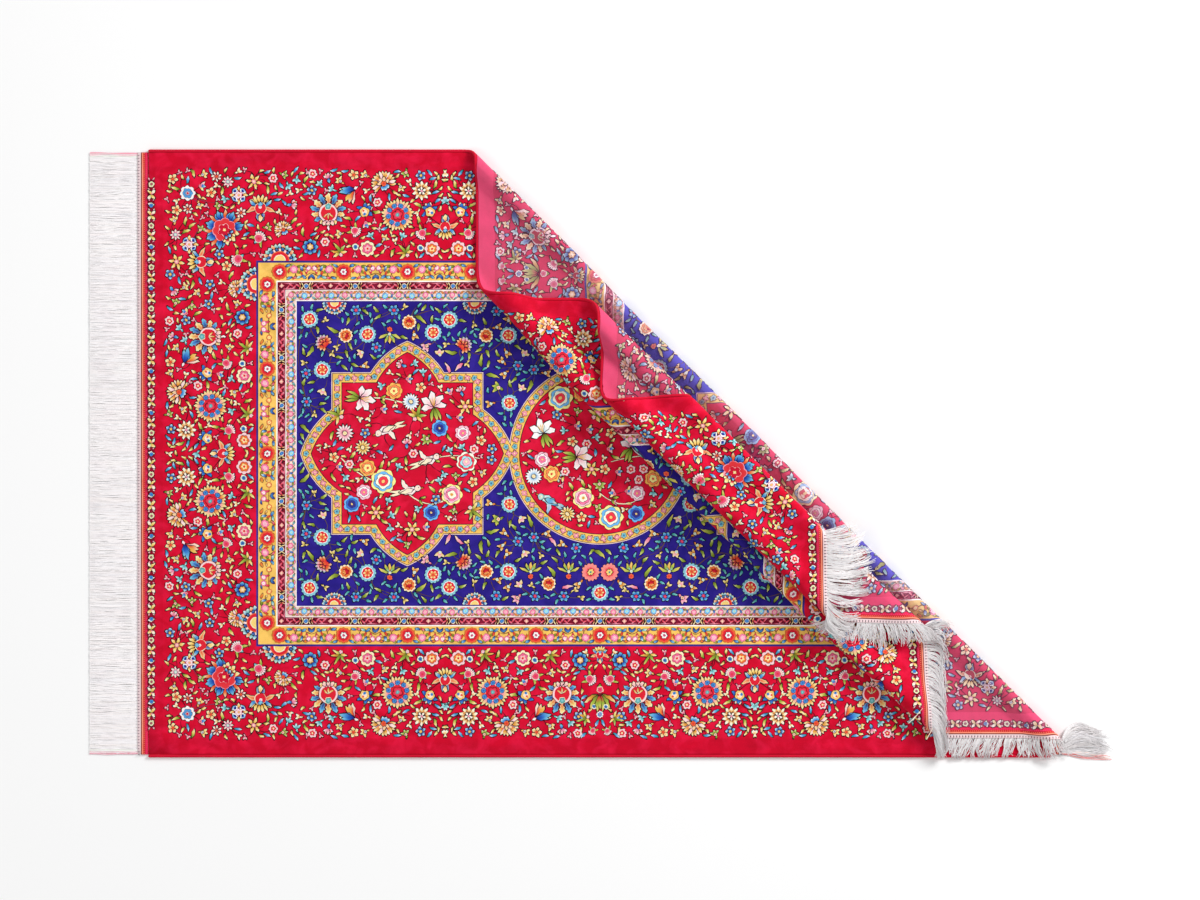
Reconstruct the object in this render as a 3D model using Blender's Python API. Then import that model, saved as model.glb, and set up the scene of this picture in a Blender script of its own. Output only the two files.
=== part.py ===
"""Oriental rug with a cut pile, laid flat on the floor, one corner drawn back in soft folds.

X runs along the rug, Y across it, Z up; the floor is Z = 0 and the origin is the middle of the rug.
The rug is worked out flat and then folded about lines at 45 degrees. U is the distance across
those lines, towards the folded corner, and V the distance along them. A point of the flat cloth
keeps its V, and its flat U becomes arc length along the section through the folds.
"""

import functools
import math

import bmesh
import bpy
import numpy as np
from mathutils import Vector

# Driving sizes in metres
PILE_LENGTH = 1.500
PILE_WIDTH = 1.000
PILE_THICKNESS = 0.005
SEAM = 0.0005
SELVEDGE_WIDTH = 0.0045
BAND_WIDTH = 0.0175
BAND_THICKNESS = 0.003
STRIP_WIDTH = 0.003
STRIP_THICKNESS = 0.0024
LOCK_LENGTH = 0.078
LOCK_PITCH = 0.0125
LOCK_SHARE = 0.60
LOCK_TIP = 0.55
LOCK_STEPS = 4
LOCK_SPLAY = 0.0018
LOCK_CLEARANCE = 0.0016
LOCK_FALL = 5.0
LEAST_LEVEL = 0.72
CELL = 0.004
LEAST_FLAT = 0.1

HALF_LENGTH = PILE_LENGTH / 2
HALF_WIDTH = PILE_WIDTH / 2
MIDDLE = PILE_THICKNESS / 2
ROOT2 = math.sqrt(2.0)

# Where along each fold, in V, its edge and heights are given
STATIONS = (-0.300, -0.120, 0.040, 0.400, 0.750)
# A row for each fold: which way it faces in U, its edge's U at the stations, the height at which
# the cloth goes in, the heights at which it comes out at the stations, then the height of the
# low point of the layer after it and that point's share of the way along the layer
FOLD_COLUMNS = ("name", "side", "edges", "z_in", "z_outs", "rest_z", "rest_at")
FOLD_ROWS = (
    (
        "outer_turn",
        1,
        (0.2066, 0.2045, 0.2060, 0.2050, 0.2060),
        0.0025,
        (0.0220, 0.0205, 0.0205, 0.0205, 0.0205),
        0.0095,
        0.22,
    ),
    (
        "lower_pleat",
        -1,
        (0.0520, 0.0430, 0.0450, 0.0490, 0.0600),
        0.0095,
        (0.0500, 0.0400, 0.0355, 0.0355, 0.0355),
        0.0170,
        0.55,
    ),
    (
        "upper_pleat",
        1,
        (0.1710, 0.1710, 0.1715, 0.1760, 0.1820),
        0.0170,
        (0.0600, 0.0570, 0.0420, 0.0410, 0.0410),
        0.0370,
        0.45,
    ),
    (
        "lower_roll",
        -1,
        (0.0735, 0.0680, 0.0680, 0.0720, 0.0740),
        0.0410,
        (0.0930, 0.0900, 0.0720, 0.0650, 0.0650),
        0.0600,
        0.50,
    ),
    (
        "corner_turn",
        1,
        (0.1735, 0.1735, 0.1735, 0.1735, 0.1735),
        0.0660,
        (0.0475, 0.0475, 0.0475, 0.0475, 0.0475),
        0.0463,
        0.50,
    ),
    (
        "tucked_tip",
        -1,
        (0.0840, 0.0840, 0.0840, 0.0840, 0.0840),
        0.0466,
        (0.0528, 0.0528, 0.0528, 0.0528, 0.0528),
        0.0528,
        0.50,
    ),
)
FOLDS = [dict(zip(FOLD_COLUMNS, row)) for row in FOLD_ROWS]
LOOP_FULLNESS = 0.55
LOOP_STEPS = 24
LAYER_STEPS = 24
LOOP_LINES = 8
LAYER_LINES = 6
TIP_REACH = 0.055
HIDDEN_LAYER = 5
LAST_TURN = (len(FOLDS) - 1) * (LOOP_STEPS + LAYER_STEPS) + LOOP_STEPS
BASE_LINES = (-0.5, 0.0)
SHEET_COLUMNS = 14

RUG_COLLECTION = "oriental_rug"


def smooth(share):
    """A share from 0 to 1 that starts and ends level."""
    return share * share * (3 - 2 * share)


def along_fold(values, v):
    """A value given at the stations, eased between them."""
    place = float(np.interp(v, STATIONS, range(len(STATIONS))))
    low = min(int(place), len(STATIONS) - 2)
    share = smooth(place - low)
    return values[low] * (1 - share) + values[low + 1] * share


def loop_points(fold, v):
    """The half turn of one fold as (u, z) points."""
    z_in, z_out = fold["z_in"], along_fold(fold["z_outs"], v)
    reach = LOOP_FULLNESS * abs(z_out - z_in)
    centre = along_fold(fold["edges"], v) - fold["side"] * (MIDDLE + reach)
    angle = np.linspace(0, math.pi, LOOP_STEPS + 1)
    u = centre + fold["side"] * reach * np.sin(angle)
    z = z_in + (z_out - z_in) * (1 - np.cos(angle)) / 2
    return u, z


def layer_points(start, end, rest_z, rest_at):
    """The layer from one fold to the next, down to its low point and up again."""
    share = np.linspace(0, 1, LAYER_STEPS + 1)
    u = start[0] + (end[0] - start[0]) * share
    down = start[1] + (rest_z - start[1]) * smooth(np.clip(share / rest_at, 0, 1))
    back = np.clip((share - rest_at) / (1 - rest_at), 0, 1)
    z = np.where(share < rest_at, down, rest_z + (end[1] - rest_z) * smooth(back))
    return u[1:-1], z[1:-1]


@functools.lru_cache(maxsize=None)
def section(v):
    """Arc length, u, z and slope angle of the cloth's middle across the folds at V."""
    us, zs = [], []
    loops = [loop_points(fold, v) for fold in FOLDS]
    for fold, loop, after in zip(FOLDS, loops, loops[1:] + [None]):
        us.append(loop[0])
        zs.append(loop[1])
        start = (loop[0][-1], loop[1][-1])
        if after is None:
            end = (start[0] - fold["side"] * TIP_REACH, start[1])
        else:
            end = (after[0][0], after[1][0])
        u, z = layer_points(start, end, fold["rest_z"], fold["rest_at"])
        us.append(u)
        zs.append(z)
    u, z = np.concatenate(us), np.concatenate(zs)
    steps = np.hypot(np.diff(u), np.diff(z))
    s = u[0] + np.concatenate([[0.0], np.cumsum(steps)])
    angle = np.unwrap(np.arctan2(np.gradient(z), np.gradient(u)))
    return s, u, z, angle


def section_at(s, v):
    """(u, z, slope angle) of the cloth's middle at arc length s and V."""
    length, u, z, angle = section(round(float(v), 4))
    if s <= length[0]:
        return s, MIDDLE, 0.0
    return tuple(float(np.interp(s, length, row)) for row in (u, z, angle))


def place(s, v, lift=0.0):
    """The point in space of flat (s, v), lifted off the cloth's middle towards its face."""
    u, z, angle = section_at(s, v)
    u -= math.sin(angle) * lift
    z += math.cos(angle) * lift
    return ((u + v) / ROOT2, (u - v) / ROOT2, z)


def fold_line(number, v, end):
    """The arc length of a numbered point of the section at V; past the last turn, a share of
    the way to the flat end."""
    length = section(round(float(v), 4))[0]
    if number <= LAST_TURN:
        return length[number]
    share = (number - LAST_TURN) / LAYER_STEPS
    return length[LAST_TURN] + (end - length[LAST_TURN]) * share


def fold_line_numbers():
    """Which points of the section carry a line of the mesh."""
    found = []
    for fold in range(len(FOLDS)):
        start = fold * (LOOP_STEPS + LAYER_STEPS)
        turned = start + LOOP_STEPS
        step = LAYER_STEPS // LAYER_LINES
        found += range(start, turned + 1, LOOP_STEPS // LOOP_LINES)
        found += range(turned + step, turned + LAYER_STEPS, step)
    return found + [LAST_TURN + LAYER_STEPS]


def v_limits(box, line):
    """The range of V in which a line, given as s(v), lies in the flat box (x0, x1, y0, y1)."""
    x0, x1, y0, y1 = box
    low = high = 0.0
    for _ in range(12):
        s_low, s_high = line(low), line(high)
        low = max(s_low - ROOT2 * y1, ROOT2 * x0 - s_low)
        high = min(ROOT2 * x1 - s_high, s_high - ROOT2 * y0)
    return low, max(low, high)


def lines_through(box):
    """The mesh lines of a flat box, as functions s(v), in order and without strays."""
    x0, x1, y0, y1 = box
    corners = sorted((x + y) / ROOT2 for x in (x0, x1) for y in (y0, y1))
    first_turn = section(0.0)[0][0]
    flat = [s for s in BASE_LINES if corners[0] < s < corners[-1]] + corners
    flat = sorted({round(s, 5) for s in flat if s < first_turn})
    lines = [lambda v, s=s: s for s in flat]
    if corners[-1] > first_turn:
        end = corners[-1]
        numbered = fold_line_numbers()
        lines += [lambda v, i=i: fold_line(i, v, end) for i in numbered]
    return [line for line in lines if corners[0] <= line(0.0) <= corners[-1] + 1e-9]


def new_object(name, mesh, material):
    """Puts a mesh in the rug's collection as a named object with its material."""
    piece = bpy.data.objects.new(name, mesh)
    piece.data.materials.append(material)
    bpy.data.collections[RUG_COLLECTION].objects.link(piece)
    return piece


def folded_slab(name, rows, thickness, material):
    """A flat slab through rows of flat (s, v) places, folded as the rug is.

    Its reverse lies level with the reverse of the pile, so that every piece meets the floor.
    """
    slab = bmesh.new()
    across, along = len(rows[0]) - 1, len(rows) - 1
    bmesh.ops.create_grid(slab, x_segments=across, y_segments=along, size=1.0)
    for vert in slab.verts:
        column = round((vert.co.x + 1) / 2 * across)
        row = round((vert.co.y + 1) / 2 * along)
        vert.co = (*rows[row][column], 0.0)
    bmesh.ops.remove_doubles(slab, verts=slab.verts, dist=0.00001)
    raised = bmesh.ops.extrude_face_region(slab, geom=slab.faces[:], use_keep_orig=True)
    for vert in raised["geom"]:
        if isinstance(vert, bmesh.types.BMVert):
            vert.co.z = thickness
    for vert in slab.verts:
        vert.co = place(vert.co.x, vert.co.y, vert.co.z - MIDDLE)
    bmesh.ops.recalc_face_normals(slab, faces=slab.faces)
    mesh = bpy.data.meshes.new(name)
    slab.to_mesh(mesh)
    slab.free()
    mesh.shade_smooth()
    mesh.set_sharp_from_angle(angle=math.radians(50))
    return new_object(name, mesh, material)


def folded_panel(name, box, thickness, columns, material):
    """A flat rectangle of cloth (x0, x1, y0, y1), folded with the rug."""
    rows = []
    for line in lines_through(box):
        low, high = v_limits(box, line)
        rows.append([(line(v), v) for v in np.linspace(high, low, columns + 1)])
    return folded_slab(name, rows, thickness, material)


class Surface:
    """The height of what already lies at each place, for a lock to rest on."""

    def __init__(self):
        self.tops = {}

    def cell(self, x, y):
        """The cell that holds a place."""
        return round(x / CELL), round(y / CELL)

    def lay(self, x, y, top):
        """Raises the cells about a place to at least this height."""
        column, row = self.cell(x, y)
        for across in (-1, 0, 1):
            for along in (-1, 0, 1):
                key = (column + across, row + along)
                self.tops[key] = max(self.tops.get(key, 0.0), top)

    def top(self, x, y):
        """The height at a place, the bare floor being zero."""
        return self.tops.get(self.cell(x, y), 0.0)

    def lay_cloth(self, s_from, s_to, x_from, x_to):
        """Lays the cloth of a range of arc length, between two flat values of X."""
        for s in np.arange(s_from, s_to, CELL):
            for x_flat in np.arange(x_from, x_to, CELL):
                v = ROOT2 * x_flat - s
                if abs(s - v) / ROOT2 <= HALF_WIDTH + SEAM + SELVEDGE_WIDTH:
                    x, y, z = place(s, v)
                    self.lay(x, y, z + MIDDLE)

    def highest(self, start, end):
        """The greatest height along a line on plan."""
        shares = np.linspace(0, 1, 8)
        return max(
            self.top(start[0] + (end[0] - start[0]) * t, start[1] + (end[1] - start[1]) * t)
            for t in shares
        )


def turn_ends(v):
    """The arc length at which each fold's half turn begins and ends, at V."""
    length = section(round(float(v), 4))[0]
    starts = [number * (LOOP_STEPS + LAYER_STEPS) for number in range(len(FOLDS))]
    return [(length[start], length[start + LOOP_STEPS]) for start in starts]


def layer_at(s, v):
    """The number of the layer that flat (s, v) lies in, counted from the floor."""
    return sum(s > (begin + end) / 2 for begin, end in turn_ends(v))


def outward(s, v):
    """The way off the rug's end at flat (s, v), on plan, with its slope."""
    angle = section_at(s, v)[2]
    size = math.hypot(math.cos(angle), 1.0)
    along = math.cos(angle)
    return (along + 1) / ROOT2 / size, (along - 1) / ROOT2 / size, math.sin(angle) / size


def lock_path(root, s, v, number, surface):
    """The places that one lock of the folded end passes, resting on what is under it."""
    out_x, out_y, slope = outward(s, v)
    way = math.sin(number * 1.9)
    length = LOCK_LENGTH * lock_share(number)
    if out_y < 0:
        room = (root[1] + HALF_WIDTH + SELVEDGE_WIDTH) / -out_y
        length = min(length, room)
    spots = []
    for step in range(LOCK_STEPS + 1):
        d = length * step / LOCK_STEPS
        sway = way * LOCK_SPLAY * smooth(step / LOCK_STEPS)
        spots.append((root[0] + out_x * d - out_y * sway, root[1] + out_y * d + out_x * sway))
    spots.append(spots[-1])
    path = []
    for step in range(1, LOCK_STEPS + 1):
        d = length * step / LOCK_STEPS
        under = max(
            surface.highest(spots[step - 1], spots[step]),
            surface.highest(spots[step], spots[step + 1]),
        )
        rest = under + STRIP_THICKNESS / 2 + (LOCK_CLEARANCE if under > 0 else 0.0)
        fall = root[2] + slope * d - LOCK_FALL * d * d
        path.append(((*spots[step], max(rest, fall)), (-out_y, out_x)))
    return path


def level_path(root, number):
    """The places that one lock of the flat end passes, level on the floor."""
    way = math.sin(number * 1.9)
    length = LOCK_LENGTH * lock_share(number)
    path = []
    for step in range(1, LOCK_STEPS + 1):
        share = step / LOCK_STEPS
        spot = (
            root[0] - length * share,
            root[1] + way * LOCK_SPLAY * smooth(share),
            STRIP_THICKNESS / 2,
        )
        path.append((spot, (0.0, -1.0)))
    return path


def lock_share(number):
    """How long a lock is, as a share of the full length."""
    return 0.94 + 0.06 * math.sin(number * 2.7)


def grow_lock(mesh, face, path, half_width):
    """Extrudes one face of the strip along a path into a tapering four-sided lock."""
    middle = face.calc_center_median()
    across = Vector((*path[0][1], 0.0))
    sides = [math.copysign(1, (vert.co - middle).dot(across)) for vert in face.verts]
    upper = [vert.co.z > middle.z for vert in face.verts]
    for step, (spot, across) in enumerate(path, start=1):
        taper = 1 - (1 - LOCK_TIP) * step / len(path)
        face = bmesh.ops.extrude_discrete_faces(mesh, faces=[face])["faces"][0]
        for vert, side, top in zip(face.verts, sides, upper):
            rise = STRIP_THICKNESS * (taper - 0.5 if top else -0.5)
            offset = (across[0] * side, across[1] * side)
            vert.co.x = spot[0] + offset[0] * half_width * taper
            vert.co.y = spot[1] + offset[1] * half_width * taper
            vert.co.z = spot[2] + rise


def lock_roots(last_y):
    """The flat Y at which each lock begins and ends, up to the last."""
    count = int((last_y + HALF_WIDTH) / LOCK_PITCH)
    starts = -HALF_WIDTH + (np.arange(count) + (1 - LOCK_SHARE) / 2) * LOCK_PITCH
    return [(float(y), float(y + LOCK_PITCH * LOCK_SHARE)) for y in starts]


def backing_strip(name, x0, x1, roots, material):
    """The narrow strip that a fringe's roots are fused into, between two flat values of X."""
    ends = [-HALF_WIDTH, roots[-1][1] + (1 - LOCK_SHARE) / 2 * LOCK_PITCH]
    marks = sorted(ends + [y for pair in roots for y in pair])
    rows = [[((x + y) / ROOT2, (x - y) / ROOT2) for x in (x0, x1)] for y in marks]
    return folded_slab(name, rows, STRIP_THICKNESS, material)


def rim_face(mesh, x_outer, y):
    """The strip's outer face nearest a flat place."""
    lift = (STRIP_THICKNESS - PILE_THICKNESS) / 2
    point = Vector(place((x_outer + y) / ROOT2, (x_outer - y) / ROOT2, lift))
    return min(mesh.faces, key=lambda face: (face.calc_center_median() - point).length)


def straight_fringe(name, material):
    """The fringe of the flat end: a strip parted from the band, its locks level on the floor."""
    inner = -(HALF_LENGTH + BAND_WIDTH + 2 * SEAM)
    outer = inner - STRIP_WIDTH
    roots = lock_roots(HALF_WIDTH)
    piece = backing_strip(name, outer, inner, roots, material)
    mesh = bmesh.new()
    mesh.from_mesh(piece.data)
    for number, (y0, y1) in enumerate(roots):
        face = rim_face(mesh, outer, (y0 + y1) / 2)
        path = level_path(face.calc_center_median(), number)
        grow_lock(mesh, face, path, (y1 - y0) / 2)
    mesh.to_mesh(piece.data)
    mesh.free()


def shown_layers(roots, x_outer):
    """The locks of each layer whose edge lies level enough to carry them, the tucked corner's
    left out: layer number to a list of (number, flat Y, s, v)."""
    layers = {}
    for number, (y0, y1) in enumerate(roots):
        y = (y0 + y1) / 2
        s, v = (x_outer + y) / ROOT2, (x_outer - y) / ROOT2
        layer = layer_at(s, v)
        if layer < HIDDEN_LAYER and abs(math.cos(section_at(s, v)[2])) > LEAST_LEVEL:
            layers.setdefault(layer, []).append((number, y, s, v))
    return layers


def folded_fringe(name, material):
    """The fringe of the folded end, laid lock by lock from the lowest layer to the highest."""
    inner = HALF_LENGTH + BAND_WIDTH + 2 * SEAM
    outer = inner + STRIP_WIDTH
    layers = shown_layers(lock_roots(HALF_WIDTH), outer)
    last_y = layers[max(layers)][-1][1] + LOCK_PITCH / 2
    piece = backing_strip(name, inner, outer, lock_roots(last_y + SEAM), material)
    mesh = bmesh.new()
    mesh.from_mesh(piece.data)
    surface = Surface()
    laid = LEAST_FLAT
    for layer in sorted(layers):
        first = layers[layer][0][2] - CELL
        surface.lay_cloth(laid, first, LEAST_FLAT, outer)
        laid = first
        strewn = []
        for number, y, s, v in layers[layer]:
            face = rim_face(mesh, outer, y)
            root = face.calc_center_median()
            path = lock_path(root, s, v, number, surface)
            grow_lock(mesh, face, path, LOCK_PITCH * LOCK_SHARE / 2)
            strewn.append([tuple(root)] + [spot for spot, _ in path])
        for path in strewn:
            lay_lock(surface, path)
    mesh.to_mesh(piece.data)
    mesh.free()


def lay_lock(surface, path):
    """Adds a placed lock to what later locks rest on."""
    for start, end in zip(path, path[1:]):
        for share in np.linspace(0, 1, 8):
            spot = [a + (b - a) * share for a, b in zip(start, end)]
            surface.lay(spot[0], spot[1], spot[2] + STRIP_THICKNESS / 2)


def cloth_material(name, colour, roughness):
    """A plain cloth finish."""
    material = bpy.data.materials.new(name)
    material.use_nodes = True
    shader = material.node_tree.nodes["Principled BSDF"]
    shader.inputs["Base Color"].default_value = (*colour, 1.0)
    shader.inputs["Roughness"].default_value = roughness
    return material


def split_twisted_faces(piece):
    """Splits the faces, which the folds have twisted, into triangles."""
    mesh = bmesh.new()
    mesh.from_mesh(piece.data)
    bmesh.ops.triangulate(mesh, faces=mesh.faces)
    mesh.to_mesh(piece.data)
    mesh.free()


def clear_scene():
    """Removes whatever the file opened with and adds the rug's collection."""
    for thing in list(bpy.data.objects):
        bpy.data.objects.remove(thing)
    rug = bpy.data.collections.new(RUG_COLLECTION)
    bpy.context.scene.collection.children.link(rug)


def build():
    """Makes every piece of the rug."""
    clear_scene()
    pile = cloth_material("crimson_pile", (0.62, 0.01, 0.04), 0.7)
    binding = cloth_material("crimson_binding", (0.70, 0.02, 0.06), 0.8)
    band = cloth_material("gold_and_red_band", (0.75, 0.25, 0.08), 0.8)
    cotton = cloth_material("white_fringe", (0.85, 0.82, 0.83), 0.85)
    inner = HALF_LENGTH + SEAM
    outer = inner + BAND_WIDTH
    low, high = HALF_WIDTH + SEAM, HALF_WIDTH + SEAM + SELVEDGE_WIDTH
    folded_panel(
        "pile_rug",
        (-HALF_LENGTH, HALF_LENGTH, -HALF_WIDTH, HALF_WIDTH),
        PILE_THICKNESS,
        SHEET_COLUMNS,
        pile,
    )
    folded_panel(
        "selvedge_far", (-HALF_LENGTH, HALF_LENGTH, low, high), PILE_THICKNESS, 1, binding
    )
    folded_panel(
        "selvedge_near", (-HALF_LENGTH, HALF_LENGTH, -high, -low), PILE_THICKNESS, 1, binding
    )
    folded_panel(
        "end_band_left", (-outer, -inner, -HALF_WIDTH, HALF_WIDTH), BAND_THICKNESS, 1, band
    )
    folded_panel(
        "end_band_right", (inner, outer, -HALF_WIDTH, HALF_WIDTH), BAND_THICKNESS, 2, band
    )
    straight_fringe("fringe_left", cotton)
    folded_fringe("fringe_right", cotton)
    for piece in bpy.data.collections[RUG_COLLECTION].objects:
        split_twisted_faces(piece)


build()
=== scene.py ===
"""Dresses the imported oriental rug: pile, woven pattern, bindings, end bands and fringe.

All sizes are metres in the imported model's frame. The rug is worked out flat, with X along it and
Y across it, and then laid in its folds, which run at 45 degrees. U is the distance across the
folds, towards the folded corner, and V the distance along them.
"""

from __future__ import annotations

import logging
import math
from dataclasses import dataclass, field
from enum import Enum

import bmesh
import bpy
import numpy as np
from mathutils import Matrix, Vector

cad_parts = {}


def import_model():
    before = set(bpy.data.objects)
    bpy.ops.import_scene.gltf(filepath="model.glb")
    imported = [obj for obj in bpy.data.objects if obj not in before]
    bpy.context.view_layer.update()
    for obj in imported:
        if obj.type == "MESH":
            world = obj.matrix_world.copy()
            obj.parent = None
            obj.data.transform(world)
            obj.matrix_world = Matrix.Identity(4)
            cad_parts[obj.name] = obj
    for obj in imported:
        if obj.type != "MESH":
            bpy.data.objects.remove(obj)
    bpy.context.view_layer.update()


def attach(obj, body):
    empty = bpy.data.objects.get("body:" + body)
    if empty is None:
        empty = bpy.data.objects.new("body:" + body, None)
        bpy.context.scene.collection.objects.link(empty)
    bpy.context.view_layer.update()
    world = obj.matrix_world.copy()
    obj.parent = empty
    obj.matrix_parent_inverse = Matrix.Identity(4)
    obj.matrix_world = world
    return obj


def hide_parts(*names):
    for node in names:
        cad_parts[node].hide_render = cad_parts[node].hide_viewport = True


LOG = logging.getLogger("rug")
ROOT2 = math.sqrt(2.0)
BODY = "root"

PILE_LENGTH = 1.500
PILE_WIDTH = 1.000
PILE_THICKNESS = 0.005
HALF_LENGTH = PILE_LENGTH / 2
HALF_WIDTH = PILE_WIDTH / 2
MIDDLE = PILE_THICKNESS / 2
SEAM = 0.0005
SELVEDGE_WIDTH = 0.0045
BAND_WIDTH = 0.0175
BAND_THICKNESS = 0.003
BAND_INNER = HALF_LENGTH + SEAM
BAND_OUTER = BAND_INNER + BAND_WIDTH
FRINGE_START = BAND_OUTER + SEAM

# The photograph's own scale: its pixels, and where the middle of the rug lies in them
PIXEL = 0.001661
PHOTO_SIZE = (1200, 900)
RUG_MIDDLE_PX = (600.0, 453.5)


def eased(share: np.ndarray) -> np.ndarray:
    """A share from 0 to 1 that starts and ends level."""
    return share * share * (3 - 2 * share)


def linear(colour: tuple[float, float, float]) -> tuple[float, float, float]:
    """Turns a colour in 0 to 255 display numbers into linear light.

    Args:
        colour: Red, green and blue as a display shows them.

    Returns:
        The three linear values from 0 to 1.
    """
    shares = [c / 255 for c in colour]
    return tuple(c / 12.92 if c <= 0.04045 else ((c + 0.055) / 1.055) ** 2.4 for c in shares)


@dataclass(frozen=True)
class Fold:
    """One fold of the rug: a half turn and the layer that follows it."""

    name: str
    side: int
    edges: tuple[float, ...]
    z_in: float
    z_outs: tuple[float, ...]
    rest_z: float
    rest_at: float


@dataclass
class FoldedCloth:
    """Lays flat cloth in the folds of the photograph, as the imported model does."""

    stations: tuple[float, ...] = (-0.300, -0.120, 0.040, 0.400, 0.750)
    folds: tuple[Fold, ...] = (
        Fold("outer_turn", 1, (0.2066, 0.2045, 0.2060, 0.2050, 0.2060), 0.0025,
             (0.0220, 0.0205, 0.0205, 0.0205, 0.0205), 0.0095, 0.22),
        Fold("lower_pleat", -1, (0.0520, 0.0430, 0.0450, 0.0490, 0.0600), 0.0095,
             (0.0500, 0.0400, 0.0355, 0.0355, 0.0355), 0.0170, 0.55),
        Fold("upper_pleat", 1, (0.1710, 0.1710, 0.1715, 0.1760, 0.1820), 0.0170,
             (0.0600, 0.0570, 0.0420, 0.0410, 0.0410), 0.0370, 0.45),
        Fold("lower_roll", -1, (0.0735, 0.0680, 0.0680, 0.0720, 0.0740), 0.0410,
             (0.0930, 0.0900, 0.0720, 0.0650, 0.0650), 0.0600, 0.50),
        Fold("corner_turn", 1, (0.1735,) * 5, 0.0660, (0.0475,) * 5, 0.0463, 0.50),
        Fold("tucked_tip", -1, (0.0840,) * 5, 0.0466, (0.0528,) * 5, 0.0528, 0.50),
    )
    fullness: float = 0.55
    loop_steps: int = 24
    layer_steps: int = 24
    tip_reach: float = 0.055
    v_range: tuple[float, float] = (-1.0, 1.0)
    v_step: float = 0.01
    s_range: tuple[float, float] = (0.15, 0.95)
    s_step: float = 0.001
    tables: dict[str, np.ndarray] = field(default_factory=dict)

    def __post_init__(self) -> None:
        """Works out the cloth's section at every V station of the table."""
        self.vs = np.arange(self.v_range[0], self.v_range[1] + self.v_step / 2, self.v_step)
        self.ss = np.arange(self.s_range[0], self.s_range[1] + self.s_step / 2, self.s_step)
        rows = [self.section(float(v)) for v in self.vs]
        for number, name in enumerate(("u", "z", "angle"), start=1):
            table = [np.interp(self.ss, row[0], row[number]) for row in rows]
            self.tables[name] = np.array(table)
        flat = self.ss[None, :] <= np.array([row[0][0] for row in rows])[:, None]
        self.tables["u"] = np.where(flat, self.ss[None, :], self.tables["u"])
        self.lengths = np.array([row[0] for row in rows])

    def along(self, values: tuple[float, ...], v: float) -> float:
        """A fold's value at V, eased between the stations."""
        place = float(np.interp(v, self.stations, range(len(self.stations))))
        low = min(int(place), len(self.stations) - 2)
        share = eased(place - low)
        return values[low] * (1 - share) + values[low + 1] * share

    def loop(self, fold: Fold, v: float) -> tuple[np.ndarray, np.ndarray]:
        """The half turn of one fold at V as U and height."""
        z_out = self.along(fold.z_outs, v)
        reach = self.fullness * abs(z_out - fold.z_in)
        centre = self.along(fold.edges, v) - fold.side * (MIDDLE + reach)
        angle = np.linspace(0, math.pi, self.loop_steps + 1)
        height = fold.z_in + (z_out - fold.z_in) * (1 - np.cos(angle)) / 2
        return centre + fold.side * reach * np.sin(angle), height

    def section(self, v: float) -> tuple[np.ndarray, ...]:
        """Arc length, U, height and slope angle of the cloth's middle at V."""
        loops = [self.loop(fold, v) for fold in self.folds]
        us, zs = [], []
        for fold, loop, after in zip(self.folds, loops, loops[1:] + [None]):
            start = (loop[0][-1], loop[1][-1])
            if after is None:
                end = (start[0] - fold.side * self.tip_reach, start[1])
            else:
                end = (after[0][0], after[1][0])
            share = np.linspace(0, 1, self.layer_steps + 1)[1:-1]
            down = eased(np.clip(share / fold.rest_at, 0, 1))
            back = eased(np.clip((share - fold.rest_at) / (1 - fold.rest_at), 0, 1))
            low = start[1] + (fold.rest_z - start[1]) * down
            high = fold.rest_z + (end[1] - fold.rest_z) * back
            us += [loop[0], start[0] + (end[0] - start[0]) * share]
            zs += [loop[1], np.where(share < fold.rest_at, low, high)]
        u, z = np.concatenate(us), np.concatenate(zs)
        steps = np.hypot(np.diff(u), np.diff(z))
        length = u[0] + np.concatenate([[0.0], np.cumsum(steps)])
        angle = np.unwrap(np.arctan2(np.gradient(z), np.gradient(u)))
        return length, u, z, angle

    def look_up(self, s: np.ndarray, v: np.ndarray) -> tuple[np.ndarray, ...]:
        """U, height and slope angle of flat places, read from the tables."""
        row = np.clip((v - self.vs[0]) / self.v_step, 0, len(self.vs) - 1.001)
        column = np.clip((s - self.ss[0]) / self.s_step, 0, len(self.ss) - 1.001)
        r, c = row.astype(int), column.astype(int)
        fr, fc = row - r, column - c
        found = []
        for name in ("u", "z", "angle"):
            t = self.tables[name]
            near = t[r, c] * (1 - fc) + t[r, c + 1] * fc
            far = t[r + 1, c] * (1 - fc) + t[r + 1, c + 1] * fc
            found.append(near * (1 - fr) + far * fr)
        level = s < self.ss[0]
        return (
            np.where(level, s, found[0]),
            np.where(level, MIDDLE, found[1]),
            np.where(level, 0.0, found[2]),
        )

    def place(self, s: np.ndarray, v: np.ndarray, lift: np.ndarray | float) -> np.ndarray:
        """Lays flat places in the folds.

        Args:
            s: Distance across the folds on the flat cloth.
            v: Distance along the folds.
            lift: Height off the cloth's middle, towards its face.

        Returns:
            An array of points, one row each.
        """
        s, v = np.asarray(s, float), np.asarray(v, float)
        u, z, angle = self.look_up(s, v)
        u = u - np.sin(angle) * lift
        z = z + np.cos(angle) * lift
        return np.stack([(u + v) / ROOT2, (u - v) / ROOT2, z], axis=-1)

    def place_flat(self, x: np.ndarray, y: np.ndarray, lift: np.ndarray | float) -> np.ndarray:
        """Lays places given by the rug's flat X and Y in the folds."""
        x, y = np.asarray(x, float), np.asarray(y, float)
        return self.place((x + y) / ROOT2, (x - y) / ROOT2, lift)

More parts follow.
